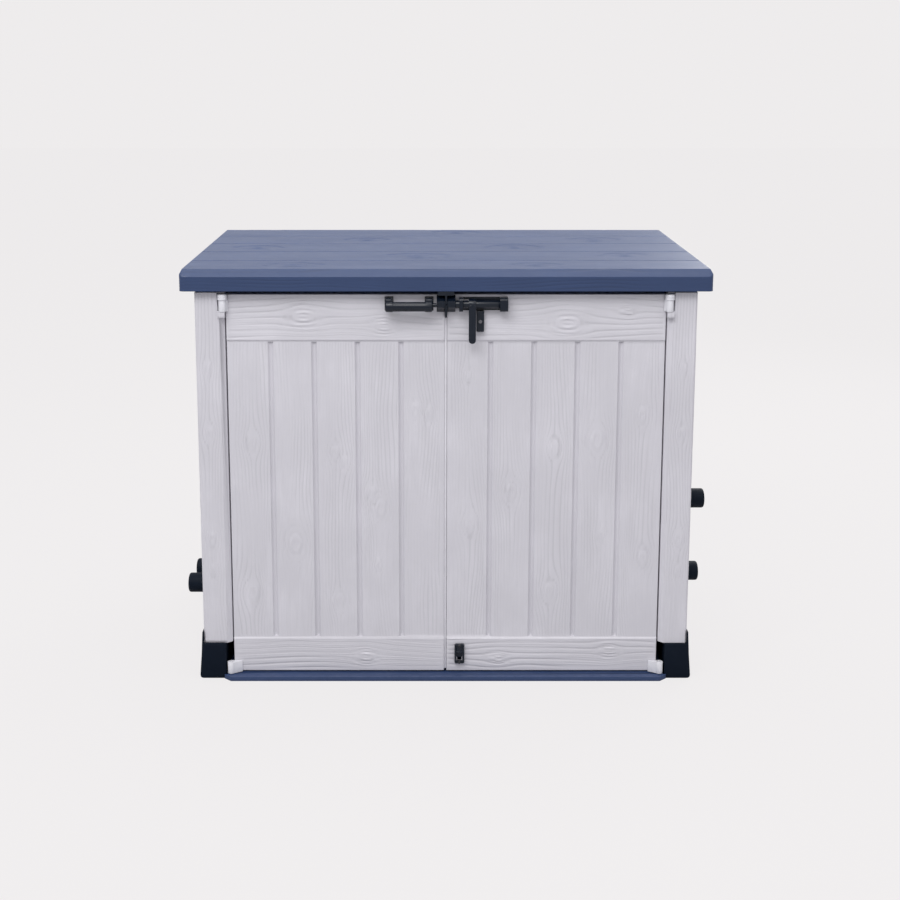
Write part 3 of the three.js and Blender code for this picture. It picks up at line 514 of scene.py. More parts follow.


# depth sets how strongly painted shade darkens the pressed grain lines on boards.
def resin_material(
    name, colour, roughness, stipple=900, bump=0.12, grain=False, wear=0.3, dust=0.25, metal=0.0,
    fibre=0.8, coat=0.0, shine=0.5, depth=0.7,
):
    """A moulded finish: cloudy colour, worn edges, dust, mould texture and, on boards, wood fibres with
    painted shade darkening the pressed grain lines and knot rings.
    """
    material = bpy.data.materials.new(name)
    material.use_nodes = True
    tree = material.node_tree
    shader = tree.nodes["Principled BSDF"]
    where = tree.nodes.new("ShaderNodeTexCoord").outputs["Object"]

    def use(group, **values):
        node = tree.nodes.new("ShaderNodeGroup")
        node.node_tree = bpy.data.node_groups[group]
        for key, value in values.items():
            node.inputs[key.replace("_", " ")].default_value = value
        return node

    mould = use("Mould texture", Stipple=stipple)
    worn = use("Edge wear and dust", Wear=wear, Dust=dust)
    tree.links.new(where, mould.inputs["Vector"])
    tree.links.new(where, worn.inputs["Vector"])
    cloudy = ramp(tree, mould.outputs["Cloud"], 0.3, 0.7)
    base = mix_colour(tree, cloudy, tinted(colour, 0.95), tinted(colour, 1.04))
    height = maths(tree, "MULTIPLY", mould.outputs["Height"], 0.00005 if grain else 0.0001)
    gloss = mould.outputs["Cloud"]
    if grain:
        uv = tree.nodes.new("ShaderNodeUVMap")
        uv.uv_map = "grain"
        fibres = use("Wood fibres", Fibre_Depth=fibre)
        tree.links.new(uv.outputs["UV"], fibres.inputs["Vector"])
        streaks = ramp(tree, fibres.outputs["Tone"], 0.35, 0.65)
        base = mix_colour(tree, streaks, tinted(colour, 0.93), base)
        # Painted shade: the relief attribute darkens grain lines and knot rings towards 0.74 of the colour,
        # scaled by depth, as if shade fell in them.
        relief = tree.nodes.new("ShaderNodeAttribute")
        relief.attribute_name = "relief"
        painted_groove_shade = ramp(tree, maths(tree, "MULTIPLY", relief.outputs["Fac"], -1.0), 0.1, 1.1)
        base = mix_colour(tree, maths(tree, "MULTIPLY", painted_groove_shade, depth), base, tinted(colour, 0.74))
        height = maths(tree, "ADD", height, maths(tree, "MULTIPLY", fibres.outputs["Height"], 0.0004))
        gloss = fibres.outputs["Tone"]
    base = mix_colour(tree, worn.outputs["Edge"], base, tinted(colour, 1.25, 0.03))
    base = mix_colour(tree, worn.outputs["Dust"], base, tinted(colour, 0.6, 0.16))
    bump_node = tree.nodes.new("ShaderNodeBump")
    bump_node.inputs["Strength"].default_value = bump
    bump_node.inputs["Distance"].default_value = 1.0
    tree.links.new(height, bump_node.inputs["Height"])
    tree.links.new(bump_node.outputs["Normal"], shader.inputs["Normal"])
    tree.links.new(base, shader.inputs["Base Color"])
    shade = tree.nodes.new("ShaderNodeMapRange")
    tree.links.new(gloss, shade.inputs["Value"])
    shade.inputs["To Min"].default_value = roughness - 0.07
    shade.inputs["To Max"].default_value = roughness + 0.07
    tree.links.new(shade.outputs["Result"], shader.inputs["Roughness"])
    shader.inputs["Metallic"].default_value = metal
    shader.inputs["Specular IOR Level"].default_value = shine
    shader.inputs["Coat Weight"].default_value = coat
    return material


# ---------------------------------------------------------------- boards: where the grain runs
def board_edges(low, high):
    """Where the grooves between equal planks lie."""
    return [low + (high - low) * i / PLANKS for i in range(1, PLANKS)]


def face_region(node, axis, sign, across, seed, depth=5 * MM, **more):
    """The whole of a node's face on one side, boards running along its longer direction."""
    low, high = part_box(node)
    along = ({X, Y, Z} - {axis, across}).pop()
    start = (high[axis] - depth) if sign > 0 else (low[axis] + depth)
    return {
        "axis": axis, "sign": sign, "across": across, "along": along, "seed": seed, "from": start,
        "span": (low[across], high[across]), "length": (low[along], high[along]), **more,
    }


def door_regions(side):
    """A door's planks between its two rails, whose grain runs across."""
    low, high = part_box(f"{side}_door_skin")
    s = -1 if side == "left" else 1
    rail_low, rail_high = low.z + BOTTOM_RAIL, high.z - TOP_RAIL
    planks = face_region(f"{side}_door_skin", Y, -1, X, 3 if s < 0 else 41, 12.5 * MM)
    planks["grooves"] = board_edges(low.x, high.x)
    planks["length"] = (rail_low, rail_high)
    places = {
        "left": (
            (-541, 692, 13), (-548, 248, 15), (-424, 395, 17), (-310, 664, 12), (-284, 640, 10),
            (-300, 226, 13), (-208, 548, 12), (-182, 500, 15), (-190, 330, 9), (-84, 790, 11),
            (-48, 772, 9),
        ),
        "right": (
            (62, 884, 10), (70, 452, 13), (186, 548, 15), (176, 560, 8), (305, 676, 12), (296, 254, 13),
            (424, 700, 17), (440, 420, 9), (548, 770, 11), (560, 352, 13),
        ),
    }[side]
    planks["knots"] = [(x * MM, z * MM, r * MM) for x, z, r in places]
    rails = []
    for number, (z0, z1) in enumerate(((low.z, rail_low), (rail_high, high.z))):
        rail = dict(planks)
        rail.update(across=Z, along=X, span=(z0, z1), length=(low.x, high.x))
        rail.update(grooves=(), seed=5 + 13 * number + s)
        rail.update(shy=4 * MM, strength=2.3, pitch=1.9, height=1.5)
        middle = (z0 + z1) / 2
        spots = {
            ("left", 0): [(-8, -226, 12)], ("left", 1): [(4, -392, 17), (-24, -170, 12)],
            ("right", 0): [(-14, 150, 9), (10, 470, 11)], ("right", 1): [(-14, 336, 18), (18, 500, 9)],
        }[side, number]
        rail["knots"] = [(middle + a * MM, l * MM, r * MM) for a, l, r in spots]
        rails.append(rail)
    return [planks, *rails]


def post_regions(node, s, front):
    """A post's outer face and its side."""
    low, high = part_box(node)
    narrow = {"shy": 3 * MM, "fine": 1.6 * MM}
    facing, depth = (-1, 14 * MM) if front else (1, 2 * MM)
    face = face_region(node, Y, facing, X, 60 + 7 * s, depth, **narrow)
    side = face_region(node, X, s, Y, 80 + 7 * s, 2 * MM, **narrow)
    middle = s * 658 * MM
    face["knots"] = [(middle, z * MM, r * MM) for z, r in ((722, 10), (415, 11), (318, 9), (905, 8))]
    side["knots"] = [((low.y + high.y) / 2, z * MM, r * MM) for z, r in ((830, 9), (520, 12))]
    return [face, side]


def wall_knots(region, count, seed):
    """A few knots placed at random, clear of the grooves."""
    draw = np.random.default_rng(seed)
    borders = [region["span"][0], *region["grooves"], region["span"][1]]
    low, high = region["length"]
    knots = []
    for k in range(len(borders) - 1):
        for _ in range(count):
            across = borders[k] + (borders[k + 1] - borders[k]) * draw.uniform(0.3, 0.7)
            knots.append((across, draw.uniform(low + 0.15, high - 0.1), draw.uniform(9, 17) * MM))
    return knots


def boarded(node, regions, body, material, bm, crease=math.radians(38)):
    """A CAD node's copy with wood grain pressed into its boards."""
    grain = bpy.context.scene.box_grain
    for region in regions:
        emboss(bm, region, grain)
    mesh = bpy.data.meshes.new(f"{node}_boards")
    bm.to_mesh(mesh)
    bm.free()
    grain_map(mesh, regions)
    return piece(f"{node}_boards", mesh, body, material, [node], crease)


# ---------------------------------------------------------------- operators
class BOX_OT_finishes(bpy.types.Operator):
    """Make the resin and steel finishes"""

    bl_idname = "storage_box.finishes"
    bl_label = "Finishes"

    def execute(self, context):
        resin = context.scene.box_resin
        for group in (fibre_group, mould_group, wear_group):
            group()
        pale, navy, black = tuple(resin.pale), tuple(resin.navy), tuple(resin.black)
        # depth: strength of the painted shade in the grain lines, weaker on pale boards and stronger on the
        # navy lid.
        resin_material("Pale board", pale, 0.50, bump=0.8, grain=True, wear=0.25, dust=0.1, depth=0.5)
        resin_material("Pale plain", pale, 0.52, bump=0.5)
        resin_material("Navy board", navy, 0.40, bump=0.9, grain=True, wear=0.35, dust=0.06, depth=0.9)
        resin_material("Navy plain", navy, 0.46, bump=0.5, wear=0.4, dust=0.08)
        resin_material("Black resin", black, 0.58, bump=0.5, wear=0.12, dust=0.02, shine=0.12)
        resin_material("Black gloss", black, 0.27, bump=0.3, wear=0.12, dust=0.01, shine=0.4)
        resin_material("White resin", tuple(resin.white), 0.42, bump=0.3)
        resin_material("Black steel", (0.012, 0.013, 0.016), 0.38, 1400, 0.3, wear=0.6, dust=0.2, coat=0.3)
        resin_material("Bright steel", (0.55, 0.56, 0.58), 0.24, 500, 0.2, wear=0.2, dust=0.1, metal=1.0)
        return {"FINISHED"}


class BOX_OT_doors(bpy.types.Operator):
    """Emboss the two doors' skins and round their edges"""

    bl_idname = "storage_box.doors"
    bl_label = "Doors"

    def execute(self, context):
        for side, s in SIDES:
            node = f"{side}_door_skin"
            low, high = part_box(node)
            bm = cad_shape(node)

            def rim(e):
                ends = [v.co for v in e.verts]
                if max(p.y for p in ends) > low.y + MM / 2:
                    return False
                borders = [(k, corner[k]) for k in (X, Z) for corner in (low, high)]
                return any(all(abs(p[k] - place) < MM / 4 for p in ends) for k, place in borders)

            round_edges(bm, sharp_edges(bm, rim), 3 * MM, 4)
            boarded(node, door_regions(side), f"{side}_door", "Pale board", bm)
            refined(f"{side}_door_liner", f"{side}_door", "Pale plain", 0.8 * MM)
        refined("meeting_strip", "left_door", "Pale plain", 0.6 * MM)
        return {"FINISHED"}


class BOX_OT_posts(bpy.types.Operator):
    """Emboss the four corner posts"""

    bl_idname = "storage_box.posts"
    bl_label = "Corner posts"

    def execute(self, context):
        for side, s in SIDES:
            for end in ("front", "rear"):
                node = f"{end}_post_{side}"
                bm = cad_shape(node)
                tall = lambda e: e.calc_length() > 0.5 and abs(e.verts[0].co.x) > 0.6
                round_edges(bm, sharp_edges(bm, tall, math.radians(25)), 1.8 * MM, 2)
                regions = post_regions(node, s, end == "front")
                boarded(node, regions, "cabinet", "Pale board", bm)
        return {"FINISHED"}


class BOX_OT_walls(bpy.types.Operator):
    """Emboss the side and rear walls"""

    bl_idname = "storage_box.walls"
    bl_label = "Walls"

    def execute(self, context):
        for side, s in SIDES:
            for node, axis, sign, across in ((f"side_wall_{side}", X, s, Y), (f"rear_wall_{side}", Y, 1, X)):
                region = face_region(
                    node, axis, sign, across, 120 + 9 * s + axis, 5 * MM,
                    fine=2.1 * MM, coarse=12 * MM, shy=8 * MM,
                )
                low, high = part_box(node)
                region["grooves"] = board_edges(low[across], high[across])
                region["knots"] = wall_knots(region, 2, 300 + 10 * s + axis)
                boarded(node, [region], "cabinet", "Pale board", cad_shape(node))
        refined("rear_centre_strip", "cabinet", "Pale plain", 1.0 * MM)
        return {"FINISHED"}


class BOX_OT_lid(bpy.types.Operator):
    """Emboss the lid's top and skirt and round its edges"""

    bl_idname = "storage_box.lid"
    bl_label = "Lid"

    def execute(self, context):
        node = "lid_shell"
        low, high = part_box(node)
        bm = cad_shape(node)
        skirt_top = low.z + 40 * MM

        def brim(e):
            a, b = (v.co for v in e.verts)
            near = 19 * MM
            outside = all(abs(abs(p.x) - high.x) < near or abs(abs(p.y) - high.y) < near for p in (a, b))
            return outside and e.calc_length() > 30 * MM and min(a.z, b.z) > low.z + 20 * MM

        round_edges(bm, sharp_edges(bm, brim, math.radians(30)), 3 * MM, 3)
        top = face_region(node, Z, 1, Y, 200, fine=2.2 * MM, coarse=12 * MM, sunk=True, shy=7 * MM)
        top["from"] = skirt_top + 2 * MM
        top["grooves"] = board_edges(low.y, high.y)
        knots = (
            (-330, -420, 14), (-325, 250, 12), (-165, -80, 16), (-150, 520, 12), (0, -560, 13),
            (10, 210, 14), (165, -240, 12), (160, 470, 15), (330, 40, 13),
        )
        top["knots"] = [(y * MM, x * MM, r * MM) for y, x, r in knots]
        edge = {"sunk": True, "shy": 3 * MM, "fine": 2 * MM, "coarse": 12 * MM}
        skirts = [
            face_region(node, axis, sign, Z, seed, 3 * MM, **edge)
            for axis, sign, seed in ((Y, -1, 220), (Y, 1, 230), (X, -1, 240), (X, 1, 250))
        ]
        for skirt in skirts:
            skirt["span"] = (low.z, skirt_top)
        boarded(node, [top, *skirts], "lid", "Navy board", bm)
        refined("lid_liner", "lid", "Navy plain", 1.0 * MM)
        refined("lid_lock_blade", "lid", "Black gloss", 0.6 * MM)
        return {"FINISHED"}


class BOX_OT_base(bpy.types.Operator):
    """Finish the floor tray, its sill and the feet"""

    bl_idname = "storage_box.base"
    bl_label = "Base and feet"

    def execute(self, context):
        refined("base_tray", "cabinet", "Navy plain", 1.2 * MM)
        for side, _ in SIDES:
            for end in ("front", "rear"):
                refined(f"{end}_foot_{side}", "cabinet", "Black resin", 2.5 * MM, 3)
        return {"FINISHED"}


class BOX_OT_pegs(bpy.types.Operator):
    """Turn the round side pegs with their rims"""

    bl_idname = "storage_box.pegs"
    bl_label = "Side pegs"

    def execute(self, context):
        for place in ("left_front", "left_rear", "right_upper", "right_lower"):
            node = f"side_peg_{place}"
            low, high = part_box(node)
            s = -1 if low.x < 0 else 1
            root, tip = (high.x, low.x) if s < 0 else (low.x, high.x)
            wide = (high.y - low.y) / 2
            neck, groove = wide - 4 * MM, wide - 5.4 * MM
            out = lambda d: root + s * d * MM
            profile = [
                (root, 0), (root, wide), (out(4), wide), (out(5), wide - MM), (out(6), wide - 3.2 * MM),
                (out(7), neck), (out(22), neck), (out(23), groove), (out(26), groove), (out(27), neck),
                (tip - s * 6 * MM, neck), (tip - s * 3 * MM, wide - 4.7 * MM),
                (tip - s * MM, wide - 6.6 * MM), (tip, wide - 9 * MM), (tip, wide - 13 * MM),
                (tip - s * 2 * MM, wide - 15 * MM), (tip - s * 2.4 * MM, 0),
            ]
            bm = bmesh.new()
            turned(bm, profile, X, (0, (low.y + high.y) / 2, (low.z + high.z) / 2), 48)
            piece(f"{node}_turned", bm, "cabinet", "Black resin", [node])
        return {"FINISHED"}


class BOX_OT_door_hinges(bpy.types.Operator):
    """Make the white knobs, pins and lugs the doors turn on"""

    bl_idname = "storage_box.door_hinges"
    bl_label = "Door hinges"

    def execute(self, context):
        for side, s in SIDES:
            node = f"top_hinge_pin_{side}"
            low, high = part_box(node)
            centre = ((low.x + high.x) / 2, (low.y + high.y) / 2, 0)
            radius = (high.x - low.x) / 2
            lug_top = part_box(f"{side}_door_top_lug")[1].z
            base = lug_top + 0.3 * MM
            pin, waist = 5 * MM, radius - 0.9 * MM
            profile = [
                (low.z, 0), (low.z, 4 * MM), (low.z + MM, pin), (base, pin), (base, radius - 0.8 * MM),
                (base + MM, radius), (base + 5 * MM, radius), (base + 5.6 * MM, waist),
                (base + 7 * MM, waist), (base + 7.6 * MM, radius), (high.z - 4 * MM, radius),
                (high.z - 2 * MM, radius - 0.6 * MM), (high.z - 0.7 * MM, radius - 2 * MM),
                (high.z, radius - 4 * MM), (high.z, 5 * MM), (high.z - MM, 4 * MM), (high.z - MM, 0),
            ]
            bm = bmesh.new()
            turned(bm, profile, Z, centre, 48)
            piece(f"{node}_turned", bm, "cabinet", "White resin", [node])
            refined(f"bottom_pivot_{side}", "cabinet", "White resin", 0.5 * MM)
            refined(f"{side}_door_top_lug", f"{side}_door", "White resin", 1.2 * MM)
            refined(f"{side}_door_bottom_lug", f"{side}_door", "White resin", 1.2 * MM)
        return {"FINISHED"}


class BOX_OT_handle(bpy.types.Operator):
    """Make the left door's grip bar on its two feet"""

    bl_idname = "storage_box.handle"
    bl_label = "Handle"

    def execute(self, context):
        low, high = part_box("left_handle")
        z = (low.z + high.z) / 2
        radius = 13 * MM
        taller = 1.12
        y = low.y + radius
        x0, x1 = low.x + 2 * MM, high.x - 2 * MM
        bm = bmesh.new()
        ends = ((0, 5), (1, 2.4), (2.6, 0.9), (4.5, 0), (20, 0), (21, 0.9), (24, 1.2))
        first = [(x0 + d * MM, radius - sunk * MM) for d, sunk in ends]
        last = [(x1 - d * MM, radius - sunk * MM) for d, sunk in reversed(ends)]
        turned(bm, [(x0, 0), *first, *last, (x1, 0)], X, (0, y, z), 48)
        drop = 3.5 * MM
        for v in bm.verts:
            v.co.z = z - drop + (v.co.z - z) * taller
        foot = 20 * MM
        for start in (x0, x1 - foot):
            end = start + foot
            block(bm, (start, y - 4 * MM, z - 15 * MM), (end, high.y, high.z - 2 * MM), 3.5 * MM, 3)
            block(bm, (start - 2 * MM, high.y - 4 * MM, low.z), (end + 2 * MM, high.y, high.z), 1.6 * MM, 2)
        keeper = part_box("left_keeper")[0].x
        neck = rounded_profile(x1 - 2 * MM, keeper - 0.4 * MM, 6 * MM, 0.6 * MM)
        turned(bm, neck, X, (0, y + 6 * MM, z), 32)
        piece("left_handle_grip", bm, "left_door", "Black gloss", ["left_handle"])
        return {"FINISHED"}


class BOX_OT_bolt(bpy.types.Operator):
    """Make the slide bolt with its keepers, collars, lever and padlock tab"""

    bl_idname = "storage_box.bolt"
    bl_label = "Slide bolt"

    def execute(self, context):
        low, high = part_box("bolt_rod")
        y, z = (low.y + high.y) / 2, (low.z + high.z) / 2
        radius = (high.z - low.z) / 2
        profile = [
            (low.x, 0), (low.x, radius - 3 * MM), (low.x + 1.2 * MM, radius - MM), (low.x + 3 * MM, radius),
            (high.x - 2 * MM, radius), (high.x - 0.6 * MM, radius - 0.8 * MM), (high.x, radius - 2.4 * MM),
            (high.x, 4 * MM), (high.x - MM, 3 * MM), (high.x - MM, 0),
        ]
        bm = bmesh.new()
        turned(bm, profile, X, (0, y, z), 48)
        piece("bolt_rod_turned", bm, "bolt", "Black gloss", ["bolt_rod"])
        for node, body, width in (
            ("left_keeper", "left_door", 1.5), ("right_keeper", "right_door", 1.5),
            ("bolt_housing", "right_door", 1.4), ("padlock_tab", "right_door", 1.0),
            ("bolt_lever", "lever", 1.8),
        ):
            refined(node, body, "Black gloss", width * MM, 3)
        return {"FINISHED"}


class BOX_OT_latch(bpy.types.Operator):
    """Finish the right door's floor latch"""

    bl_idname = "storage_box.latch"
    bl_label = "Floor latch"

    def execute(self, context):
        refined("latch_housing", "right_door", "Black gloss", 1.2 * MM, 3)
        refined("latch_slider", "latch", "Black gloss", 0.9 * MM, 2)
        return {"FINISHED"}


class BOX_OT_lid_hinges(bpy.types.Operator):
    """Finish the lid's steel hinges"""

    bl_idname = "storage_box.lid_hinges"
    bl_label = "Lid hinges"

    def execute(self, context):
        for side, _ in SIDES:
            refined(f"lid_hinge_base_{side}", "cabinet", "Black steel", 0.5 * MM)
            refined(f"lid_hinge_leaf_{side}", "lid", "Black steel", 0.5 * MM)
            refined(f"lid_hinge_pin_{side}", "cabinet", "Bright steel", 0.5 * MM)
        return {"FINISHED"}


class BOX_OT_struts(bpy.types.Operator):
    """Finish the two gas struts and their brackets"""

    bl_idname = "storage_box.struts"
    bl_label = "Gas struts"

    def execute(self, context):
        for side, _ in SIDES:
            refined(f"strut_wall_bracket_{side}", "cabinet", "Black steel", 0.6 * MM)
            refined(f"strut_lid_bracket_{side}", "lid", "Black steel", 0.6 * MM)
            refined(f"strut_tube_{side}", f"{side}_strut_tube", "Black steel", 0.5 * MM)
            refined(f"strut_rod_{side}", f"{side}_strut_rod", "Bright steel", 0.4 * MM)
        return {"FINISHED"}


def screw_tree():
    """Places one screw head on each point, turned to the point's facing direction."""
    tree = bpy.data.node_groups.new("Screw heads", "GeometryNodeTree")
    tree.interface.new_socket(name="Geometry", in_out="INPUT", socket_type="NodeSocketGeometry")
    tree.interface.new_socket(name="Head", in_out="INPUT", socket_type="NodeSocketObject")
    tree.interface.new_socket(name="Head Radius", in_out="INPUT", socket_type="NodeSocketFloat")
    tree.interface.new_socket(name="Turn Seed", in_out="INPUT", socket_type="NodeSocketInt")
    tree.interface.new_socket(name="Material", in_out="INPUT", socket_type="NodeSocketMaterial")
    tree.interface.new_socket(name="Geometry", in_out="OUTPUT", socket_type="NodeSocketGeometry")
    enter, leave = tree.nodes.new("NodeGroupInput"), tree.nodes.new("NodeGroupOutput")
    head = tree.nodes.new("GeometryNodeObjectInfo")
    place = tree.nodes.new("GeometryNodeInstanceOnPoints")
    facing = tree.nodes.new("GeometryNodeInputNamedAttribute")
    facing.data_type = "FLOAT_VECTOR"
    facing.inputs["Name"].default_value = "facing"
    align = tree.nodes.new("FunctionNodeAlignRotationToVector")
    align.axis = "Z"
    spin = tree.nodes.new("FunctionNodeRotateRotation")
    spin.rotation_space = "LOCAL"
    angle = tree.nodes.new("FunctionNodeRandomValue")
    angle.data_type = "FLOAT"
    angle.inputs[3].default_value = math.tau / 4
    axis_angle = tree.nodes.new("FunctionNodeAxisAngleToRotation")
    real = tree.nodes.new("GeometryNodeRealizeInstances")
    paint = tree.nodes.new("GeometryNodeSetMaterial")
    link = tree.links.new
    link(enter.outputs["Geometry"], place.inputs["Points"])
    link(enter.outputs["Head"], head.inputs["Object"])
    link(head.outputs["Geometry"], place.inputs["Instance"])
    link(facing.outputs["Attribute"], align.inputs["Vector"])
    link(enter.outputs["Turn Seed"], angle.inputs["Seed"])
    link(angle.outputs[1], axis_angle.inputs["Angle"])
    link(align.outputs["Rotation"], spin.inputs["Rotation"])
    link(axis_angle.outputs["Rotation"], spin.inputs["Rotate By"])
    link(spin.outputs["Rotation"], place.inputs["Rotation"])
    link(enter.outputs["Head Radius"], place.inputs["Scale"])
    link(place.outputs["Instances"], real.inputs["Geometry"])
    link(real.outputs["Geometry"], paint.inputs["Geometry"])
    link(enter.outputs["Material"], paint.inputs["Material"])
    link(paint.outputs["Geometry"], leave.inputs["Geometry"])
    return tree


def screw_head():
    """A pan head of radius 1 with a cross recess."""
    bm = bmesh.new()
    dome = [(-0.1, 0), (-0.1, 1), (0.12, 1), (0.32, 0.9), (0.45, 0.7), (0.5, 0.45), (0.5, 0)]
    turned(bm, dome, Z, (0, 0, 0), 16)
    mesh = bpy.data.meshes.new("screw_head")
    bm.to_mesh(mesh)
    bm.free()
    cutter = bmesh.new()
    for wide, deep in ((0.55, 0.13), (0.13, 0.55)):
        block(cutter, (-wide, -deep, 0.25), (wide, deep, 0.8), 0.02, 1)
    tool_mesh = bpy.data.meshes.new("recess")
    cutter.to_mesh(tool_mesh)
    cutter.free()
    head = bpy.data.objects.new("screw_head", mesh)
    tool = bpy.data.objects.new("recess", tool_mesh)
    for obj in (head, tool):
        bpy.context.scene.collection.objects.link(obj)
    cut = head.modifiers.new("Recess", "BOOLEAN")
    cut.operation = "DIFFERENCE"
    cut.solver = "EXACT"
    cut.use_self = True
    cut.object = tool
    cut_mesh = bpy.data.meshes.new_from_object(head.evaluated_get(bpy.context.evaluated_depsgraph_get()))
    head.modifiers.clear()
    head.data = cut_mesh
    bpy.data.objects.remove(tool)
    return head


def screw_places():
    """{body: (material, slot, [(place, facing)])} from the boxes of the parts the screws hold."""
    places = {}

    def put(body, material, slot, *spots):
        places.setdefault((body, material, slot), []).extend(spots)

    low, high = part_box("left_handle")
    for x in (low.x + 13 * MM, high.x - 13 * MM):
        for z in (low.z + 3.6 * MM, high.z - 3.6 * MM):
            put("left_door", "Black steel", "black_steel", ((x, high.y - 4 * MM, z), (0, -1, 0)))
    low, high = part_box("latch_housing")
    for z in (low.z + 3.2 * MM, high.z - 3.2 * MM):
        put("right_door", "Black steel", "black_steel", (((low.x + high.x) / 2, low.y, z), (0, -1, 0)))
    for side, s in SIDES:
        low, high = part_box(f"lid_hinge_base_{side}")
        for x in (low.x + 10 * MM, (low.x + high.x) / 2, high.x - 10 * MM):
            for z in (low.z + 9 * MM, low.z + 30 * MM):
                put("cabinet", "Bright steel", "bright_steel", ((x, low.y + 3.7 * MM, z), (0, 1, 0)))
        low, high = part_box(f"strut_wall_bracket_{side}")
        inner = low.x + 4 * MM if s < 0 else high.x - 4 * MM
        for z in (low.z + 9 * MM, high.z - 9 * MM):
            put("cabinet", "Bright steel", "bright_steel", ((inner, (low.y + high.y) / 2, z), (-s, 0, 0)))
    low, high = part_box("rear_centre_strip")
    for i in range(6):
        z = low.z + 60 * MM + (high.z - low.z - 120 * MM) * i / 5
        for x in (-15 * MM, 15 * MM):
            put("cabinet", "Bright steel", "bright_steel", ((x, high.y, z), (0, 1, 0)))
    return places


class BOX_OT_screws(bpy.types.Operator):
    """Set a screw head wherever a plate is fixed"""

    bl_idname = "storage_box.screws"
    bl_label = "Screws"

    def execute(self, context):
        tree, head = screw_tree(), screw_head()
        ids = {s.name: s.identifier for s in tree.interface.items_tree if s.in_out == "INPUT"}
        for (body, material, slot), spots in screw_places().items():
            name = f"{body}_screws_{slot}"
            points = bpy.data.meshes.new(name)
            points.from_pydata([p for p, _ in spots], [], [])
            facing = points.attributes.new("facing", "FLOAT_VECTOR", "POINT")
            facing.data.foreach_set("vector", [c for _, d in spots for c in d])
            holder = bpy.data.objects.new(name, points)
            bpy.context.scene.collection.objects.link(holder)
            modifier = holder.modifiers.new("Screws", "NODES")
            modifier.node_group = tree
            modifier[ids["Head"]] = head
            modifier[ids["Head Radius"]] = context.scene.box_screws.radius
            modifier[ids["Turn Seed"]] = 5
            modifier[ids["Material"]] = bpy.data.materials[material]
            mesh = bpy.data.meshes.new_from_object(holder.evaluated_get(context.evaluated_depsgraph_get()))
            bpy.data.objects.remove(holder)
            piece(f"{name}_heads", mesh, body, material)
        bpy.data.objects.remove(head)
        return {"FINISHED"}


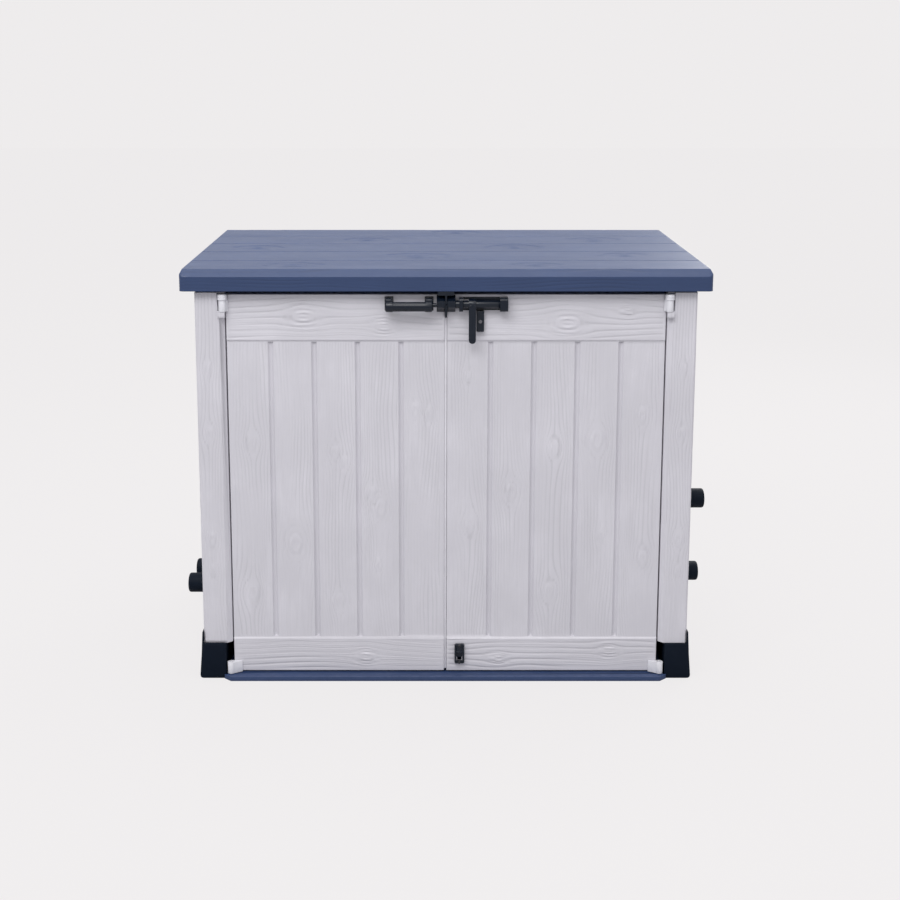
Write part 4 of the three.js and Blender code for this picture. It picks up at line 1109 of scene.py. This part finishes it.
class BOX_OT_stage(bpy.types.Operator):
    """Set up the floor, the soft light and the camera"""

    bl_idname = "storage_box.stage"
    bl_label = "Stage"

    @staticmethod
    def seen_or_lit(tree, lit, seen, socket):
        """Sends one shader to the light's rays and another to what is seen directly."""
        path = tree.nodes.new("ShaderNodeLightPath")
        mix = tree.nodes.new("ShaderNodeMixShader")
        tree.links.new(path.outputs["Is Camera Ray"], mix.inputs[0])
        tree.links.new(lit, mix.inputs[1])
        tree.links.new(seen, mix.inputs[2])
        outputs = ("ShaderNodeOutputMaterial", "ShaderNodeOutputWorld")
        out = next(n for n in tree.nodes if n.bl_idname in outputs)
        tree.links.new(mix.outputs[0], out.inputs[socket])

    def surround(self, tree, colour):
        """A plain backdrop to look at, and a sky that lights from above."""
        seen = tree.nodes["Background"]
        seen.inputs["Color"].default_value = colour
        sky = tree.nodes.new("ShaderNodeBackground")
        where = tree.nodes.new("ShaderNodeTexCoord")
        split = tree.nodes.new("ShaderNodeSeparateXYZ")
        tree.links.new(where.outputs["Generated"], split.inputs[0])
        horizon, overhead = (0.54, 0.54, 0.565), (1.24, 1.22, 1.235)
        rise = ramp(tree, split.outputs["Z"], -0.1, 0.9)
        tree.links.new(mix_colour(tree, rise, horizon, overhead), sky.inputs["Color"])
        self.seen_or_lit(tree, sky.outputs[0], seen.outputs[0], "Surface")

    def floor(self, backdrop):
        """A wide floor that looks as plain as the backdrop and bounces a little light."""
        reach, share, glow = 30, 0.06, 0.925
        mesh = bpy.data.meshes.new("floor")
        corners = [(x * reach, y * reach, 0) for x, y in ((-1, -1), (1, -1), (1, 1), (-1, 1))]
        mesh.from_pydata(corners, [], [(0, 1, 2, 3)])
        floor = bpy.data.objects.new("floor", mesh)
        bpy.context.scene.collection.objects.link(floor)
        material = bpy.data.materials.new("Floor")
        material.use_nodes = True
        shader = material.node_tree.nodes["Principled BSDF"]
        shader.inputs["Base Color"].default_value = (*(share * c for c in backdrop), 1)
        shader.inputs["Roughness"].default_value = 1
        shader.inputs["Specular IOR Level"].default_value = 0
        shader.inputs["Emission Color"].default_value = (*backdrop, 1)
        shader.inputs["Emission Strength"].default_value = glow
        bounce = material.node_tree.nodes.new("ShaderNodeBsdfDiffuse")
        bounce.inputs["Color"].default_value = (0.42, 0.42, 0.43, 1)
        self.seen_or_lit(material.node_tree, bounce.outputs[0], shader.outputs[0], "Surface")
        mesh.materials.append(material)

    @staticmethod
    def softbox(name, place, aim, size, power):
        light = bpy.data.lights.new(name, "AREA")
        light.shape = "RECTANGLE"
        light.size, light.size_y = size
        light.energy = power
        lamp = bpy.data.objects.new(name, light)
        lamp.location = place
        lamp.rotation_mode = "QUATERNION"
        lamp.rotation_quaternion = (Vector(aim) - Vector(place)).to_track_quat("-Z", "Y")
        bpy.context.scene.collection.objects.link(lamp)

    @staticmethod
    def camera(scene, tilt):
        data = bpy.data.cameras.new("camera")
        data.lens = 53.84
        data.sensor_width = 36
        data.shift_x, data.shift_y = 0.0246, -0.1581
        data.clip_end = 100
        camera = bpy.data.objects.new("camera", data)
        camera.location = (-0.0498, -4.0247, 1.6914)
        camera.rotation_euler = (math.pi / 2 - tilt, 0, 0)
        scene.collection.objects.link(camera)
        scene.camera = camera

    def execute(self, context):
        scene = context.scene
        settings = scene.box_stage
        scene.view_settings.view_transform = "Standard"
        world = bpy.data.worlds.new("Studio")
        world.use_nodes = True
        self.surround(world.node_tree, (*settings.backdrop, 1))
        scene.world = world
        self.floor(settings.backdrop)
        self.softbox("key", (-1.1, -3.0, 4.1), (0, 0, 0.7), (3.2, 1.4), settings.key * 1.35)
        self.softbox("over", (0.2, 0.6, 4.2), (0, 0, 1.0), (3.0, 2.4), settings.key * 0.8)
        self.softbox("back", (2.6, 3.2, 2.8), (0, 0, 0.7), (2.4, 1.8), settings.key * 0.8)
        self.camera(scene, settings.tilt)
        return {"FINISHED"}


OPERATORS = (
    BOX_OT_finishes, BOX_OT_stage, BOX_OT_base, BOX_OT_posts, BOX_OT_walls, BOX_OT_pegs, BOX_OT_doors,
    BOX_OT_door_hinges, BOX_OT_handle, BOX_OT_bolt, BOX_OT_latch, BOX_OT_lid, BOX_OT_lid_hinges,
    BOX_OT_struts, BOX_OT_screws,
)
SETTINGS = (
    ("box_resin", ResinSettings), ("box_grain", GrainSettings), ("box_screws", ScrewSettings),
    ("box_stage", StageSettings),
)


class BOX_PT_panel(bpy.types.Panel):
    """The storage box's pieces and settings"""

    bl_idname = "BOX_PT_panel"
    bl_label = "Storage box"
    bl_space_type = "VIEW_3D"
    bl_region_type = "UI"
    bl_category = "Storage box"

    def draw(self, context):
        for name, kind in SETTINGS:
            for field in kind.__annotations__:
                self.layout.prop(getattr(context.scene, name), field)
        for operator in OPERATORS:
            self.layout.operator(operator.bl_idname)


CLASSES = (*(kind for _, kind in SETTINGS), *OPERATORS, BOX_PT_panel)


def register():
    for cls in CLASSES:
        bpy.utils.register_class(cls)
    for name, kind in SETTINGS:
        setattr(bpy.types.Scene, name, PointerProperty(type=kind))


def unregister():
    for name, _ in SETTINGS:
        delattr(bpy.types.Scene, name)
    for cls in reversed(CLASSES):
        bpy.utils.unregister_class(cls)


def main():
    register()
    for operator in OPERATORS:
        family, name = operator.bl_idname.split(".")
        getattr(getattr(bpy.ops, family), name)()


if __name__ == "__main__":
    main()
